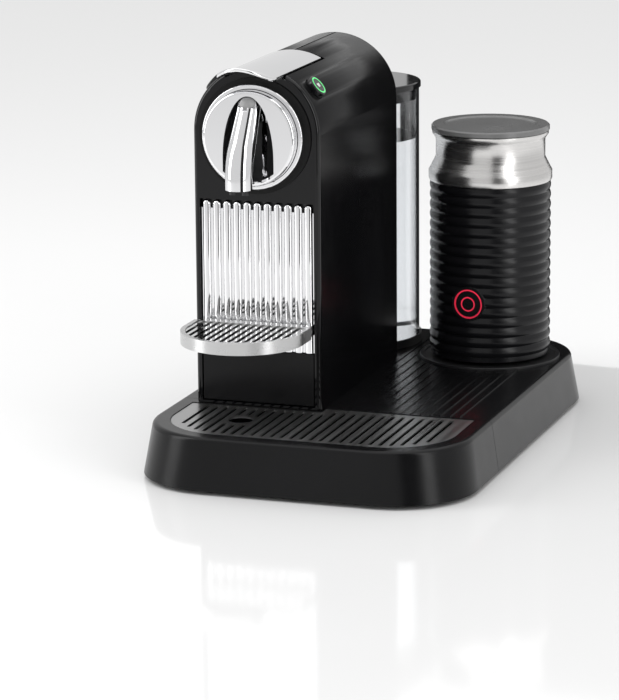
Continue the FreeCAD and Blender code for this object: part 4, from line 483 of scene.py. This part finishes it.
def dark_card(name, place, size):
    """Black card that only polished pieces see; it gives them their dark stripes."""
    form = bmesh.new()
    bmesh.ops.create_grid(form, x_segments=1, y_segments=1, size=0.5)
    mesh = bpy.data.meshes.new(name)
    form.to_mesh(mesh)
    form.free()
    card = bpy.data.objects.new(name, mesh)
    bpy.context.scene.collection.objects.link(card)
    black, _, shader = new_finish(name + "_black")
    shader.inputs["Base Color"].default_value = (0.01, 0.01, 0.01, 1)
    shader.inputs["Roughness"].default_value = 1
    mesh.materials.append(black)
    card.scale = (size[0], size[1], 1)
    card.location = place
    aim = Vector((place[0], place[1], 0))
    card.rotation_euler = aim.to_track_quat("Z", "Y").to_euler()
    card.visible_camera = False
    card.visible_diffuse = False
    card.visible_shadow = False


class COFFEE_OT_studio(bpy.types.Operator):
    """Floor, softboxes and camera"""

    bl_idname = "coffee.studio"
    bl_label = "Studio"

    def execute(self, context):
        studio = context.scene.coffee_studio
        scene = context.scene
        world = bpy.data.worlds.new("Studio")
        world.use_nodes = True
        background = world.node_tree.nodes["Background"]
        background.inputs["Color"].default_value = (1, 1, 1, 1)
        background.inputs["Strength"].default_value = WORLD_GLOW * studio.light
        scene.world = world
        scene.view_settings.view_transform = "Standard"
        floor_form = bmesh.new()
        bmesh.ops.create_grid(floor_form, x_segments=1, y_segments=1, size=12)
        mesh = bpy.data.meshes.new("Floor")
        floor_form.to_mesh(mesh)
        floor_form.free()
        floor = bpy.data.objects.new("Floor", mesh)
        scene.collection.objects.link(floor)
        pale, _, shader = new_finish("Pale_floor")
        shader.inputs["Base Color"].default_value = (FLOOR_SHADE,) * 3 + (1,)
        shader.inputs["Roughness"].default_value = FLOOR_ROUGHNESS
        shader.inputs["Specular IOR Level"].default_value = FLOOR_SPECULAR
        mesh.materials.append(pale)
        for name, place, target, size, power in SOFTBOXES:
            area_light(name, place, target, size, power * studio.light)
        for name, place, size in DARK_CARDS:
            dark_card(name, place, size)

        data = bpy.data.cameras.new("Camera")
        camera = bpy.data.objects.new("Camera", data)
        scene.collection.objects.link(camera)
        back = Vector((math.sin(studio.turn) * math.cos(studio.pitch),
                       -math.cos(studio.turn) * math.cos(studio.pitch), math.sin(studio.pitch)))
        camera.location = CAMERA_TARGET + back * studio.distance
        look = (-back).to_track_quat("-Z", "Y").to_matrix().to_4x4()
        roll = Matrix.Rotation(studio.roll, 4, "Z")
        camera.rotation_euler = (look @ roll).to_euler()
        data.sensor_width = SENSOR_WIDTH
        data.sensor_fit = "AUTO"
        data.lens = studio.lens
        data.shift_x = studio.shift_across
        data.shift_y = studio.shift_up
        data.clip_end = 60
        scene.camera = camera
        return {"FINISHED"}


class COFFEE_PT_panel(bpy.types.Panel):
    """The machine's pieces"""

    bl_label = "Pod coffee machine"
    bl_idname = "COFFEE_PT_panel"
    bl_space_type = "VIEW_3D"
    bl_region_type = "UI"
    bl_category = "Coffee"

    def draw(self, context):
        scene = context.scene
        for group in (scene.coffee_finishes, scene.coffee_sizes, scene.coffee_studio):
            for name in type(group).__annotations__:
                self.layout.prop(group, name)
        for operator in OPERATORS:
            self.layout.operator(operator.bl_idname)


OPERATORS = (COFFEE_OT_body, COFFEE_OT_base, COFFEE_OT_chrome, COFFEE_OT_works, COFFEE_OT_tank,
             COFFEE_OT_frother, COFFEE_OT_lights, COFFEE_OT_studio)
GROUPS = (CoffeeFinishes, CoffeeSizes, CoffeeStudio)


def register():
    for group in (*GROUPS, *OPERATORS, COFFEE_PT_panel):
        bpy.utils.register_class(group)
    bpy.types.Scene.coffee_finishes = PointerProperty(type=CoffeeFinishes)
    bpy.types.Scene.coffee_sizes = PointerProperty(type=CoffeeSizes)
    bpy.types.Scene.coffee_studio = PointerProperty(type=CoffeeStudio)


def unregister():
    del bpy.types.Scene.coffee_studio
    del bpy.types.Scene.coffee_sizes
    del bpy.types.Scene.coffee_finishes
    for group in reversed((*GROUPS, *OPERATORS, COFFEE_PT_panel)):
        bpy.utils.unregister_class(group)


def main():
    register()
    for operator in OPERATORS:
        family, verb = operator.bl_idname.split(".")
        getattr(getattr(bpy.ops, family), verb)()


if __name__ == "__main__":
    main()
